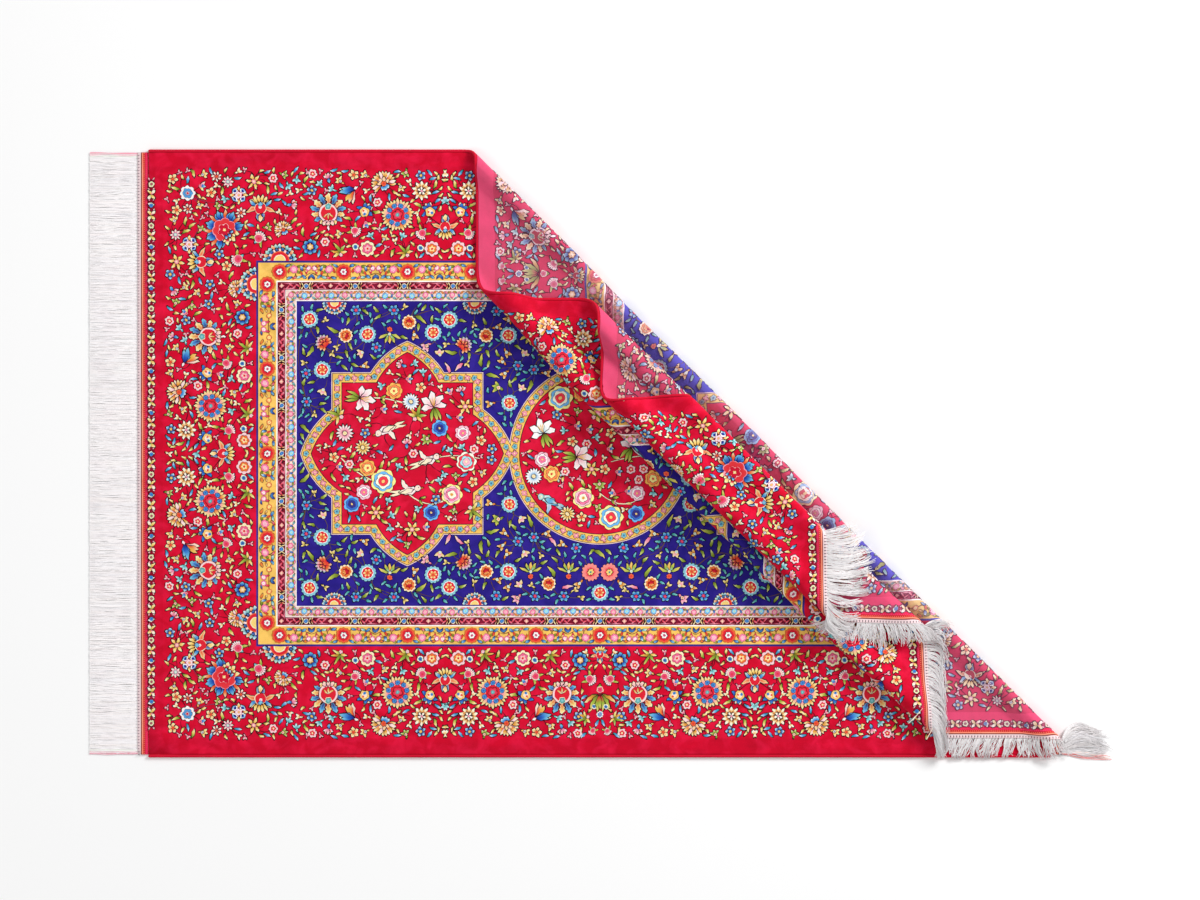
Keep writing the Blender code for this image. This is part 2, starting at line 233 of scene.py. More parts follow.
    def line(self, number: float, v: float, end: float) -> float:
        """The arc length of a numbered point of the section at V, or past its last turn a share
        of the way to the flat end."""
        period = self.loop_steps + self.layer_steps
        last_turn = (len(self.folds) - 1) * period + self.loop_steps
        row = int(np.clip(round((v - self.vs[0]) / self.v_step), 0, len(self.vs) - 1))
        length = self.lengths[row]
        if number <= last_turn:
            return float(np.interp(number, range(len(length)), length))
        share = (number - last_turn) / self.layer_steps
        return float(length[last_turn] + (end - length[last_turn]) * share)


def new_piece(name: str, mesh: bpy.types.Mesh) -> bpy.types.Object:
    """Adds a mesh to the scene as an object at the origin."""
    piece = bpy.data.objects.new(name, mesh)
    bpy.context.scene.collection.objects.link(piece)
    return piece


def array_mesh(name: str, points: np.ndarray, faces: np.ndarray) -> bpy.types.Mesh:
    """Builds a mesh from arrays.

    Args:
        name: The mesh's name.
        points: One row of X, Y and Z for each vertex.
        faces: One row of vertex numbers for each face, all of the same length.

    Returns:
        The mesh, with its edges worked out.
    """
    mesh = bpy.data.meshes.new(name)
    corners = faces.shape[1]
    mesh.vertices.add(len(points))
    mesh.vertices.foreach_set("co", np.asarray(points, np.float32).ravel())
    mesh.loops.add(faces.size)
    mesh.loops.foreach_set("vertex_index", faces.astype(np.int32).ravel())
    mesh.polygons.add(len(faces))
    mesh.polygons.foreach_set("loop_start", np.arange(0, faces.size, corners, dtype=np.int32))
    mesh.update(calc_edges=True)
    mesh.validate()
    return mesh


def cleaned(mesh: bpy.types.Mesh, distance: float = 0.00001) -> bpy.types.Mesh:
    """Merges points that lie on each other, drops faces without area and turns faces outwards."""
    work = bmesh.new()
    work.from_mesh(mesh)
    bmesh.ops.remove_doubles(work, verts=work.verts, dist=distance)
    bmesh.ops.dissolve_degenerate(work, edges=work.edges, dist=distance / 10)
    bmesh.ops.recalc_face_normals(work, faces=work.faces)
    work.to_mesh(mesh)
    work.free()
    return mesh


@dataclass
class FlatBox:
    """A rectangle of the flat rug, crossed by lines that lie along its folds."""

    cloth: FoldedCloth
    x0: float
    x1: float
    y0: float
    y1: float
    flat_lines: int = 26
    loop_stride: int = 1
    layer_stride: int = 2

    def limits(self, line: float | None, s: float | None) -> tuple[float, float]:
        """The V at both ends of a numbered line, or of a line at a set S."""
        low = high = 0.0
        for _ in range(14):
            s_low, s_high = self.s_at(line, s, low), self.s_at(line, s, high)
            low = max(s_low - ROOT2 * self.y1, ROOT2 * self.x0 - s_low)
            high = min(ROOT2 * self.x1 - s_high, s_high - ROOT2 * self.y0)
        return low, max(low, high)

    def s_at(self, line: float | None, s: float | None, v: float) -> float:
        """The arc length of a line at V."""
        end = (self.x1 + self.y1) / ROOT2
        return s if line is None else self.cloth.line(line, v, end)

    def lines(self) -> list[tuple[float | None, float | None]]:
        """Every line of the mesh, in order, as its number in the section or its set S."""
        corners = sorted((x + y) / ROOT2 for x in (self.x0, self.x1) for y in (self.y0, self.y1))
        turn = float(self.cloth.lengths[100][0])
        flat_end = min(turn, corners[-1])
        spaced = np.linspace(corners[0], flat_end, self.flat_lines)
        near = [s for s in corners if s < turn]
        kept = [s for s in spaced if all(abs(s - c) > 0.004 for c in near)]
        found = [(None, float(s)) for s in sorted(kept + near)]
        if corners[-1] > turn:
            cloth, numbers = self.cloth, []
            for number in range(len(cloth.folds)):
                start = number * (cloth.loop_steps + cloth.layer_steps)
                turned = start + cloth.loop_steps
                numbers += range(start, turned + 1, self.loop_stride)
                numbers += range(turned + self.layer_stride, turned + cloth.layer_steps,
                                 self.layer_stride)
            last = (len(cloth.folds) - 1) * (cloth.loop_steps + cloth.layer_steps)
            numbers.append(last + cloth.loop_steps + cloth.layer_steps)
            found += [(float(i), None) for i in numbers]
        inside = []
        for line, s in found:
            place = self.s_at(line, s, 0.0)
            if corners[0] <= place <= corners[-1] + 1e-9:
                inside.append((line, s))
        return inside

    def rows(self, columns: int, rim: tuple[float, ...] = ()) -> tuple[np.ndarray, np.ndarray]:
        """Flat S and V of a grid of places that fills the box.

        Args:
            columns: Places along each line between the rims.
            rim: Distances from the box's edge that get a place of their own at both ends.

        Returns:
            S and V, each with one row for each line.
        """
        ss, vs = [], []
        for line, s in self.lines():
            low, high = self.limits(line, s)
            span = high - low
            inset = [min(r * ROOT2, span * 0.45 * (n + 1) / (len(rim) + 1))
                     for n, r in enumerate(rim)]
            starts = [low] + [low + i for i in inset]
            ends = [high - i for i in reversed(inset)] + [high]
            middle = list(np.linspace(starts[-1], ends[0], columns + 1)[1:-1])
            row = np.array(starts + middle + ends)
            vs.append(row)
            ss.append([self.s_at(line, s, v) for v in row])
        return np.array(ss), np.array(vs)

    def edge_distance(self, s: np.ndarray, v: np.ndarray) -> np.ndarray:
        """How far flat places lie inside the box."""
        x, y = (s + v) / ROOT2, (s - v) / ROOT2
        sides = np.stack([x - self.x0, self.x1 - x, y - self.y0, self.y1 - y])
        return np.clip(sides.min(axis=0), 0, None)


@dataclass
class DrapedSlab:
    """A closed slab of cloth in the folds, with a rounded upper rim and a flat reverse."""

    box: FlatBox
    thickness: float
    columns: int
    rim_radius: float
    rim: tuple[float, ...] = (0.0003, 0.0008, 0.0016, 0.0026)
    base: float = -MIDDLE

    def build(self, name: str, face: bpy.types.Material,
              reverse: bpy.types.Material) -> bpy.types.Object:
        """Makes the slab as a piece with its face and its reverse in two materials."""
        s, v = self.box.rows(self.columns, self.rim)
        distance = self.box.edge_distance(s, v)
        share = np.clip(1 - distance / self.rim_radius, 0, 1)
        least = 0.35
        height = self.thickness * (least + (1 - least) * np.sqrt(1 - share * share))
        cloth = self.box.cloth
        top = cloth.place(s, v, self.base + height)
        bottom = cloth.place(s, v, self.base)
        rows, columns = s.shape
        numbers = np.arange(rows * columns).reshape(rows, columns)
        a, b = numbers[:-1, :-1].ravel(), numbers[:-1, 1:].ravel()
        c, d = numbers[1:, 1:].ravel(), numbers[1:, :-1].ravel()
        upper = np.stack([a, b, c, d], axis=1)
        lower = np.stack([d, c, b, a], axis=1) + rows * columns
        ring = np.concatenate([numbers[0], numbers[1:, -1], numbers[-1, -2::-1],
                               numbers[-2:0:-1, 0]])
        after = np.roll(ring, -1)
        lift = rows * columns
        side = np.stack([ring, ring + lift, after + lift, after], axis=1)
        points = np.concatenate([top.reshape(-1, 3), bottom.reshape(-1, 3)])
        faces = np.concatenate([upper, lower, side])
        mesh = array_mesh(name, points, faces)
        flat = np.stack([(s + v).ravel(), (s - v).ravel()], axis=1) / ROOT2
        flat = np.concatenate([flat, flat])
        self.add_maps(mesh, flat, len(upper))
        mesh.materials.append(face)
        mesh.materials.append(reverse)
        slots = np.zeros(len(mesh.polygons), np.int32)
        slots[len(upper):len(upper) + len(lower)] = 1
        mesh.polygons.foreach_set("material_index", slots)
        cleaned(mesh)
        mesh.shade_smooth()
        mesh.set_sharp_from_angle(angle=math.radians(60))
        return new_piece(name, mesh)

    def add_maps(self, mesh: bpy.types.Mesh, flat: np.ndarray, upper: int) -> None:
        """Adds the map that the pattern reads, in metres, and a second map, OFBake, with the face in its
        upper half and the reverse and sides in its lower half.
        """
        corner = np.zeros(len(mesh.loops), np.int32)
        mesh.loops.foreach_get("vertex_index", corner)
        pattern = mesh.uv_layers.new(name="flat")
        pattern.data.foreach_set("uv", flat[corner].astype(np.float32).ravel())
        baked = mesh.uv_layers.new(name="OFBake")
        box = self.box
        across = (flat[corner, 0] - box.x0) / (box.x1 - box.x0)
        up = (flat[corner, 1] - box.y0) / (box.y1 - box.y0)
        below = np.repeat(np.arange(len(mesh.polygons)) >= upper, 4)
        kept = np.stack([0.01 + 0.98 * across, 0.01 + 0.48 * up + 0.5 * ~below], axis=1)
        baked.data.foreach_set("uv", kept.astype(np.float32).ravel())


class NodeKit:
    """Adds and links nodes in a material's or a modifier's tree."""

    def __init__(self, tree: bpy.types.NodeTree) -> None:
        """Keeps the tree that the nodes go into."""
        self.tree = tree

    def add(self, kind: str, inputs: dict | None = None, **settings) -> bpy.types.Node:
        """Adds a node.

        Args:
            kind: The node's type name.
            inputs: Values or sockets for its inputs, by name or number.
            settings: Values for its own properties.

        Returns:
            The new node.
        """
        node = self.tree.nodes.new(kind)
        for name, value in settings.items():
            setattr(node, name, value)
        for key, value in (inputs or {}).items():
            self.feed(node.inputs[key], value)
        return node

    def feed(self, socket: bpy.types.NodeSocket, value) -> None:
        """Links a socket or sets an input's own value."""
        if isinstance(value, bpy.types.NodeSocket):
            self.tree.links.new(value, socket)
        elif isinstance(value, tuple) and len(value) == 3 and socket.type == "RGBA":
            socket.default_value = (*value, 1.0)
        else:
            socket.default_value = value

    def calc(self, operation: str, *values) -> bpy.types.NodeSocket:
        """A Math node's result."""
        node = self.add("ShaderNodeMath", dict(enumerate(values)), operation=operation)
        return node.outputs[0]

    def most(self, *values) -> bpy.types.NodeSocket:
        """The largest of several values."""
        found = values[0]
        for value in values[1:]:
            found = self.calc("MAXIMUM", found, value)
        return found

    def least(self, *values) -> bpy.types.NodeSocket:
        """The smallest of several values."""
        found = values[0]
        for value in values[1:]:
            found = self.calc("MINIMUM", found, value)
        return found

    def reach(self, x, y) -> bpy.types.NodeSocket:
        """The distance from nought of a place given by two values."""
        return self.calc("SQRT", self.calc("ADD", self.calc("MULTIPLY", x, x),
                                           self.calc("MULTIPLY", y, y)))

    def mix(self, share, first, second, blend: str = "MIX") -> bpy.types.NodeSocket:
        """A mix of two colours."""
        node = self.tree.nodes.new("ShaderNodeMix")
        node.data_type = "RGBA"
        node.blend_type = blend
        self.feed(node.inputs[0], share)
        self.feed(node.inputs[6], first)
        self.feed(node.inputs[7], second)
        return node.outputs[2]

    def span(self, value, low: float, high: float, to_low: float = 0.0,
             to_high: float = 1.0) -> bpy.types.NodeSocket:
        """A value moved from one range to another, held within it."""
        node = self.add("ShaderNodeMapRange", {0: value, 1: low, 2: high, 3: to_low, 4: to_high})
        return node.outputs[0]

    def bands(self, value, stops: list[tuple[float, tuple]], low: float,
              high: float) -> bpy.types.NodeSocket:
        """Plain colour bands of a measure, each from its stop upwards."""
        share = self.span(value, low, high)
        node = self.add("ShaderNodeValToRGB", {0: share})
        node.color_ramp.interpolation = "CONSTANT"
        parts = node.color_ramp.elements
        while len(parts) > 1:
            parts.remove(parts[-1])
        parts[0].position = 0.0
        parts[0].color = (*linear(stops[0][1]), 1.0)
        for start, colour in stops[1:]:
            part = parts.new((start - low) / (high - low))
            part.color = (*linear(colour), 1.0)
        return node.outputs[0]


class Side(Enum):
    """Which side of the cloth a pattern is seen from."""

    FACE = "face"
    REVERSE = "reverse"


@dataclass(frozen=True)
class Palette:
    """The yarn colours of one side of the cloth, as display numbers."""

    red: tuple[int, int, int] = (206, 3, 42)
    rim_red: tuple[int, int, int] = (200, 2, 40)
    inner_red: tuple[int, int, int] = (206, 10, 46)
    blue: tuple[int, int, int] = (38, 26, 128)
    line_blue: tuple[int, int, int] = (52, 40, 128)
    gold: tuple[int, int, int] = (238, 190, 92)
    cream: tuple[int, int, int] = (234, 206, 194)
    white: tuple[int, int, int] = (244, 236, 232)
    maroon: tuple[int, int, int] = (126, 14, 38)
    guard: tuple[int, int, int] = (140, 4, 32)
    dark: tuple[int, int, int] = (54, 16, 38)


FACE_COLOURS = Palette()
REVERSE_COLOURS = Palette(
    red=(200, 32, 84), rim_red=(220, 46, 100), inner_red=(200, 36, 86), blue=(62, 56, 172),
    line_blue=(84, 78, 160), gold=(222, 182, 124), cream=(222, 188, 190), white=(238, 222, 228),
    maroon=(156, 60, 92), guard=(164, 44, 84), dark=(92, 58, 98),
)


@dataclass(frozen=True)
class GroundPlan:
    """Where the rug's plain grounds and lines lie on the flat rug, quarter by quarter."""

    frame_x: float = 0.5706
    frame_y: float = 0.3201
    frame_depth: float = 0.0673
    rim_side: float = 0.0270
    rim_end: float = 0.0246
    guard: float = 0.0108
    guard_end: float = 0.4555
    star_x: float = 0.3198
    star_box: tuple[float, float] = (0.1260, 0.1347)
    star_cap: tuple[float, float, float] = (0.0426, -0.0400, 0.1410)
    star_side: tuple[float, float, float] = (-0.0500, 0.0662, 0.1307)
    circle: float = 0.1510
    ring: float = 0.0166

    def star_distance(self, x: np.ndarray, y: np.ndarray) -> np.ndarray:
        """How far places lie outside the star medallions' edge; inside is negative."""
        across, up = np.abs(np.abs(x) - self.star_x), np.abs(y)
        square = np.maximum(across - self.star_box[0], up - self.star_box[1])
        cap = np.hypot(across - self.star_cap[0], up - self.star_cap[1]) - self.star_cap[2]
        side = np.hypot(across - self.star_side[0], up - self.star_side[1]) - self.star_side[2]
        return np.minimum(square, np.minimum(cap, side))

    def star_nodes(self, kit: NodeKit, ax, ay) -> bpy.types.NodeSocket:
        """The star distance as nodes, from the sizes of X and Y."""
        across = kit.calc("ABSOLUTE", kit.calc("SUBTRACT", ax, self.star_x))
        square = kit.most(kit.calc("SUBTRACT", across, self.star_box[0]),
                          kit.calc("SUBTRACT", ay, self.star_box[1]))
        found = [square]
        for x, y, radius in (self.star_cap, self.star_side):
            reach = kit.reach(kit.calc("SUBTRACT", across, x), kit.calc("SUBTRACT", ay, y))
            found.append(kit.calc("SUBTRACT", reach, radius))
        return kit.least(*found)

    def colour_nodes(self, kit: NodeKit, x, y, colours: Palette) -> bpy.types.NodeSocket:
        """The ground colour at flat X and Y as nodes."""
        ax, ay = kit.calc("ABSOLUTE", x), kit.calc("ABSOLUTE", y)
        inwards = kit.most(kit.calc("SUBTRACT", ax, self.frame_x),
                           kit.calc("SUBTRACT", ay, self.frame_y))
        c = colours
        frames = kit.bands(inwards, [
            (-0.0800, c.blue), (-0.0673, c.white), (-0.0656, c.cream), (-0.0496, c.white),
            (-0.0484, c.maroon), (-0.0357, c.white), (-0.0334, c.gold), (-0.0034, c.line_blue),
            (0.0, c.red)], -0.080, 0.010)
        medal = kit.least(self.star_nodes(kit, ax, ay),
                          kit.calc("SUBTRACT", kit.reach(x, y), self.circle))
        rings = kit.bands(medal, [
            (-0.0300, c.inner_red), (-0.0180, c.dark), (-0.0166, c.gold), (-0.0022, c.dark),
            (-0.0013, c.cream), (0.0, c.blue)], -0.030, 0.010)
        inside = kit.calc("LESS_THAN", medal, 0.0)
        ground = kit.mix(inside, frames, rings)
        ends = kit.bands(ax, [
            (0.6900, c.red), (HALF_LENGTH - self.rim_end, c.rim_red),
            (HALF_LENGTH - self.guard, c.guard)], 0.690, 0.760)
        at_end = kit.calc("GREATER_THAN", ax, HALF_LENGTH - self.rim_end)
        guarded = kit.calc("LESS_THAN", ay, self.guard_end)
        ends = kit.mix(guarded, linear(c.rim_red), ends)
        at_side = kit.calc("GREATER_THAN", ay, HALF_WIDTH - self.rim_side)
        ground = kit.mix(at_side, ground, linear(c.rim_red))
        return kit.mix(at_end, ground, ends)


@dataclass(frozen=True)
class PileFinish:
    """Dyed cut pile on the face, or the closer weave of its reverse."""

    side: Side
    colours: Palette
    roughness: float
    sheen: float
    mottle: float
    grain: float
    # Strength of the painted sheen: noisy patches of the pile painted brighter and whiter
    painted_sheen: float = 0.0
    rib: float = 0.0016

    def make(self, name: str) -> bpy.types.Material:
        """Builds the material."""
        material = bpy.data.materials.new(name)
        material.use_nodes = True
        kit = NodeKit(material.node_tree)
        kit.tree.nodes.clear()
        where = kit.add("ShaderNodeUVMap", uv_map="flat").outputs[0]
        apart = kit.add("ShaderNodeSeparateXYZ", {0: where})
        x, y = apart.outputs[0], apart.outputs[1]
        colour = GroundPlan().colour_nodes(kit, x, y, self.colours)
        self.finish(kit, where, x, y, colour)
        return material

    def finish(self, kit: NodeKit, where, x, y, colour) -> None:
        """Adds colour variation, painted sheen patches, the surface's relief and the shader."""
        streak = kit.add("ShaderNodeVectorMath", {0: where, 1: (9.0, 60.0, 1.0)},
                         operation="MULTIPLY").outputs[0]
        abrash = kit.add("ShaderNodeTexNoise", {"Vector": streak, "Scale": 1.0, "Detail": 3.0})
        cloud = kit.add("ShaderNodeTexNoise", {"Vector": where, "Scale": 34.0, "Detail": 4.0})
        tuft = kit.add("ShaderNodeTexNoise", {"Vector": where, "Scale": 900.0, "Detail": 1.0})
        value = kit.calc("ADD", kit.span(abrash.outputs[0], 0.3, 0.7, -0.5, 0.5),
                         kit.span(cloud.outputs[0], 0.3, 0.7, -0.5, 0.5))
        value = kit.calc("ADD", value, kit.span(tuft.outputs[0], 0.25, 0.75, -0.7, 0.7))
        # Painted sheen: noisy patches where the pile is made brighter and a little whiter, standing in
        # for light caught by the pile
        painted_sheen_noise = kit.add("ShaderNodeTexNoise", {"Vector": where, "Scale": 40.0, "Detail": 4.0,
                                                 "Distortion": 0.6}).outputs[0]
        painted_sheen_share = kit.calc("MULTIPLY", kit.span(painted_sheen_noise, 0.42, 0.66), self.painted_sheen)
        value = kit.calc("MULTIPLY_ADD", value, self.mottle, 1.0)
        value = kit.calc("MULTIPLY_ADD", painted_sheen_share, 0.30, value)
        varied = kit.add("ShaderNodeHueSaturation", {"Value": value, "Color": colour}).outputs[0]
        varied = kit.mix(painted_sheen_share, varied, (0.012, 0.006, 0.022), "ADD")
        if self.side is Side.REVERSE:
            turn = kit.calc("MULTIPLY", x, math.tau / self.rib)
            rib = kit.span(kit.calc("SINE", turn), -1.0, 1.0, 0.0, 1.0)
            height = kit.calc("ADD", rib, tuft.outputs[0])
            varied = kit.mix(kit.calc("MULTIPLY", rib, 0.12), varied, (1.0, 0.82, 0.88))
        else:
            height = kit.calc("ADD", tuft.outputs[0],
                              kit.calc("MULTIPLY", cloud.outputs[0], 0.6))
        bump = kit.add("ShaderNodeBump", {"Strength": self.grain, "Distance": 0.001,
                                          "Height": height}).outputs[0]
        shader = kit.add("ShaderNodeBsdfPrincipled", {
            "Base Color": varied, "Roughness": self.roughness, "Specular IOR Level": 0.12,
            "Sheen Weight": self.sheen, "Sheen Roughness": 0.35,
            "Sheen Tint": (1.0, 0.75, 0.80), "Normal": bump})
        kit.add("ShaderNodeOutputMaterial", {0: shader.outputs[0]})


@dataclass(frozen=True)
class DyedYarn:
    """Cut pile in the colour that each drawing carries."""

    roughness: float = 0.85
    sheen: float = 0.2
    mottle: float = 0.10

    def make(self, name: str) -> bpy.types.Material:
        """Builds the material."""
        material = bpy.data.materials.new(name)
        material.use_nodes = True
        kit = NodeKit(material.node_tree)
        kit.tree.nodes.clear()
        where = kit.add("ShaderNodeTexCoord").outputs["Object"]
        own = kit.add("ShaderNodeAttribute", attribute_name="dye").outputs["Color"]
        tuft = kit.add("ShaderNodeTexNoise", {"Vector": where, "Scale": 800.0,
                                              "Detail": 1.0}).outputs[0]
        value = kit.span(tuft, 0.25, 0.75, 1 - self.mottle, 1 + self.mottle)
        varied = kit.add("ShaderNodeHueSaturation", {"Value": value, "Color": own}).outputs[0]
        bump = kit.add("ShaderNodeBump", {"Strength": 0.3, "Distance": 0.0006,
                                          "Height": tuft}).outputs[0]
        shader = kit.add("ShaderNodeBsdfPrincipled", {
            "Base Color": varied, "Roughness": self.roughness, "Specular IOR Level": 0.12,
            "Sheen Weight": self.sheen, "Sheen Roughness": 0.35, "Normal": bump})
        kit.add("ShaderNodeOutputMaterial", {0: shader.outputs[0]})
        return material


@dataclass(frozen=True)
class YarnFinish:
    """Plain dyed yarn with fine fibre relief; it takes a piece's own tint where it has one."""

    colour: tuple[int, int, int]
    second: tuple[int, int, int]
    scale: float = 260.0
    roughness: float = 0.8
    sheen: float = 0.3
    grain: float = 0.4
    tint: str = ""
    zones: tuple[tuple[float, tuple[int, int, int]], ...] = ()

    def make(self, name: str) -> bpy.types.Material:
        """Builds the material."""
        material = bpy.data.materials.new(name)
        material.use_nodes = True
        kit = NodeKit(material.node_tree)
        kit.tree.nodes.clear()
        where = kit.add("ShaderNodeTexCoord").outputs["Object"]
        broad = kit.add("ShaderNodeTexNoise", {"Vector": where, "Scale": self.scale * 0.12,
                                               "Detail": 3.0}).outputs[0]
        fine = kit.add("ShaderNodeTexNoise", {"Vector": where, "Scale": self.scale * 6,
                                              "Detail": 2.0}).outputs[0]
        share = kit.calc("MULTIPLY", kit.calc("ADD", broad, fine), 0.5)
        colour = kit.mix(kit.span(share, 0.35, 0.65), linear(self.colour), linear(self.second))
        if self.zones:
            flat = kit.add("ShaderNodeUVMap", uv_map="flat").outputs[0]
            x = kit.calc("ABSOLUTE", kit.add("ShaderNodeSeparateXYZ", {0: flat}).outputs[0])
            bands = kit.bands(x, list(self.zones), HALF_LENGTH, HALF_LENGTH + 0.02)
            colour = kit.mix(0.72, colour, bands)
        if self.tint:
            own = kit.add("ShaderNodeAttribute", attribute_name=self.tint).outputs["Color"]
            colour = kit.mix(1.0, colour, own, "MULTIPLY")
        bump = kit.add("ShaderNodeBump", {"Strength": self.grain, "Distance": 0.0004,
                                          "Height": fine}).outputs[0]
        shader = kit.add("ShaderNodeBsdfPrincipled", {
            "Base Color": colour, "Roughness": self.roughness, "Specular IOR Level": 0.2,
            "Sheen Weight": self.sheen, "Sheen Roughness": 0.4, "Normal": bump})
        kit.add("ShaderNodeOutputMaterial", {0: shader.outputs[0]})
        return material


class NodeTool:
    """A Geometry Nodes tree that turns a guide mesh into a finished piece."""

    def __init__(self, name: str, inputs: dict[str, tuple[str, object]]) -> None:
        """Opens the tree with its guide, its named inputs and its result.

        Args:
            name: The tree's name.
            inputs: Each input's socket type and value, by name.
        """
        self.tree = bpy.data.node_groups.new(name, "GeometryNodeTree")
        face = self.tree.interface
        face.new_socket("Geometry", in_out="INPUT", socket_type="NodeSocketGeometry")
        face.new_socket("Geometry", in_out="OUTPUT", socket_type="NodeSocketGeometry")
        self.values = {}
        for title, (kind, value) in inputs.items():
            socket = face.new_socket(title, in_out="INPUT", socket_type=kind)
            self.values[socket.identifier] = value
        self.kit = NodeKit(self.tree)
        self.source = self.kit.add("NodeGroupInput").outputs

    def close(self, geometry) -> None:
        """Ends the tree in Realize Instances and Set Material."""
        whole = self.kit.add("GeometryNodeRealizeInstances", {0: geometry}).outputs[0]
        dressed = self.kit.add("GeometryNodeSetMaterial", {
            "Geometry": whole, "Material": self.source["Material"]}).outputs[0]
        self.kit.add("NodeGroupOutput", {0: dressed})

    def run(self, name: str, guide: bpy.types.Mesh) -> bpy.types.Object:
        """Runs the tree on a guide mesh and returns its result as a plain piece."""
        carrier = new_piece(f"{name}_guide", guide)
        modifier = carrier.modifiers.new("tool", "NODES")
        modifier.node_group = self.tree
        for identifier, value in self.values.items():
            modifier[identifier] = value
        bpy.context.view_layer.update()
        graph = bpy.context.evaluated_depsgraph_get()
        mesh = bpy.data.meshes.new_from_object(carrier.evaluated_get(graph))
        mesh.name = name
        carrier.modifiers.remove(modifier)
        bpy.data.objects.remove(carrier)
        return new_piece(name, mesh)


def thread_tool(material: bpy.types.Material, radius: float, sides: int,
                flatness: float) -> NodeTool:
    """The tree that gives guide lines the thickness of yarn.

    Args:
        material: The yarn's material.
        radius: The yarn's radius where a guide's own thickness is 1.
        sides: Sides of the yarn's section.
        flatness: The section's height as a share of its width.

    Returns:
        The tool, ready to run.
    """
    tool = NodeTool("yarn", {
        "Material": ("NodeSocketMaterial", material),
        "Radius": ("NodeSocketFloat", radius),
        "Sides": ("NodeSocketInt", sides),
        "Section": ("NodeSocketVector", (1.0, flatness, 1.0)),
    })
    kit, source = tool.kit, tool.source
    lines = kit.add("GeometryNodeMeshToCurve", {0: source["Geometry"]}).outputs[0]
    lines = kit.add("GeometryNodeSetCurveNormal", {0: lines}, mode="Z_UP").outputs[0]
    own = kit.add("GeometryNodeInputNamedAttribute", {"Name": "thickness"}, data_type="FLOAT")
    sized = kit.add("GeometryNodeSetCurveRadius", {"Curve": lines, "Radius": own.outputs[0]})
    ring = kit.add("GeometryNodeCurvePrimitiveCircle", {
        "Resolution": source["Sides"], "Radius": source["Radius"]}).outputs[0]
    ring = kit.add("GeometryNodeTransform", {
        "Geometry": ring, "Scale": source["Section"]}).outputs[0]
    yarn = kit.add("GeometryNodeCurveToMesh", {
        "Curve": sized.outputs[0], "Profile Curve": ring, "Fill Caps": True})
    if "Scale" in yarn.inputs:
        kit.feed(yarn.inputs["Scale"], own.outputs[0])
    tool.close(kit.add("GeometryNodeSetShadeSmooth", {
        "Geometry": yarn.outputs[0], "Shade Smooth": flatness == 1.0}).outputs[0])
    return tool


def guide_lines(name: str, paths: np.ndarray, thickness: np.ndarray,
                tints: np.ndarray | None = None) -> bpy.types.Mesh:
    """A mesh of open lines for the yarn tool.

    Args:
        name: The mesh's name.
        paths: Points of each line: lines, points, then X, Y and Z.
        thickness: Thickness of each line at each point, as a share of the yarn's radius.
        tints: One colour for each line, or none.

    Returns:
        The mesh of edges with its thickness and tint attributes.
    """
    lines, count, _ = paths.shape
    mesh = bpy.data.meshes.new(name)
    mesh.vertices.add(lines * count)
    mesh.vertices.foreach_set("co", paths.astype(np.float32).ravel())
    start = np.arange(lines)[:, None] * count + np.arange(count - 1)[None, :]
    mesh.edges.add(start.size)
    mesh.edges.foreach_set("vertices", np.stack([start, start + 1], axis=2).ravel())
    own = mesh.attributes.new("thickness", "FLOAT", "POINT")
    own.data.foreach_set("value", np.broadcast_to(thickness, (lines, count)).ravel())
    if tints is not None:
        colour = mesh.attributes.new("tint", "FLOAT_COLOR", "POINT")
        rows = np.repeat(np.column_stack([tints, np.ones(lines)]), count, axis=0)
        colour.data.foreach_set("color", rows.astype(np.float32).ravel())
    return mesh


@dataclass
class Selvedge:
    """The overcast yarn along one long side, a round roll of close slanting wraps."""

    cloth: FoldedCloth
    side: int
    pitch: float = 0.0017
    per_wrap: int = 3
    around: int = 8
    half_width: float = 0.0027
    half_height: float = 0.0025
    ridge: float = 0.10

    def build(self, name: str, material: bpy.types.Material) -> bpy.types.Object:
        """Makes the roll as one closed tube laid in the folds."""
        stations = int(PILE_LENGTH / self.pitch * self.per_wrap)
        x = np.linspace(-HALF_LENGTH, HALF_LENGTH, stations)[:, None]
        turn = np.linspace(0, math.tau, self.around, endpoint=False)[None, :]
        phase = math.tau * x / self.pitch + turn * self.side
        swell = 1 - self.ridge * (0.5 - 0.5 * np.cos(phase))
        end = np.minimum(HALF_LENGTH - np.abs(x), 0.002) / 0.002
        swell = swell * (0.55 + 0.45 * np.sqrt(np.clip(end, 0, 1)))
        middle = HALF_WIDTH + SELVEDGE_WIDTH / 2
        y = self.side * middle + np.cos(turn) * self.half_width * swell
        lift = np.sin(turn) * self.half_height * swell
        points = self.cloth.place_flat(x + 0 * y, y, lift).reshape(-1, 3)
        ring = np.arange(self.around)
        after = (ring + 1) % self.around
        start = np.arange(stations - 1)[:, None] * self.around
        quads = np.stack([start + ring, start + after, start + after + self.around,
                          start + ring + self.around], axis=2).reshape(-1, 4)
        mesh = array_mesh(name, points, quads)
        work = bmesh.new()
        work.from_mesh(mesh)
        bmesh.ops.holes_fill(work, edges=[e for e in work.edges if e.is_boundary])
        bmesh.ops.recalc_face_normals(work, faces=work.faces)
        work.to_mesh(mesh)
        work.free()
        mesh.shade_smooth()
        mesh.materials.append(material)
        return new_piece(name, mesh)


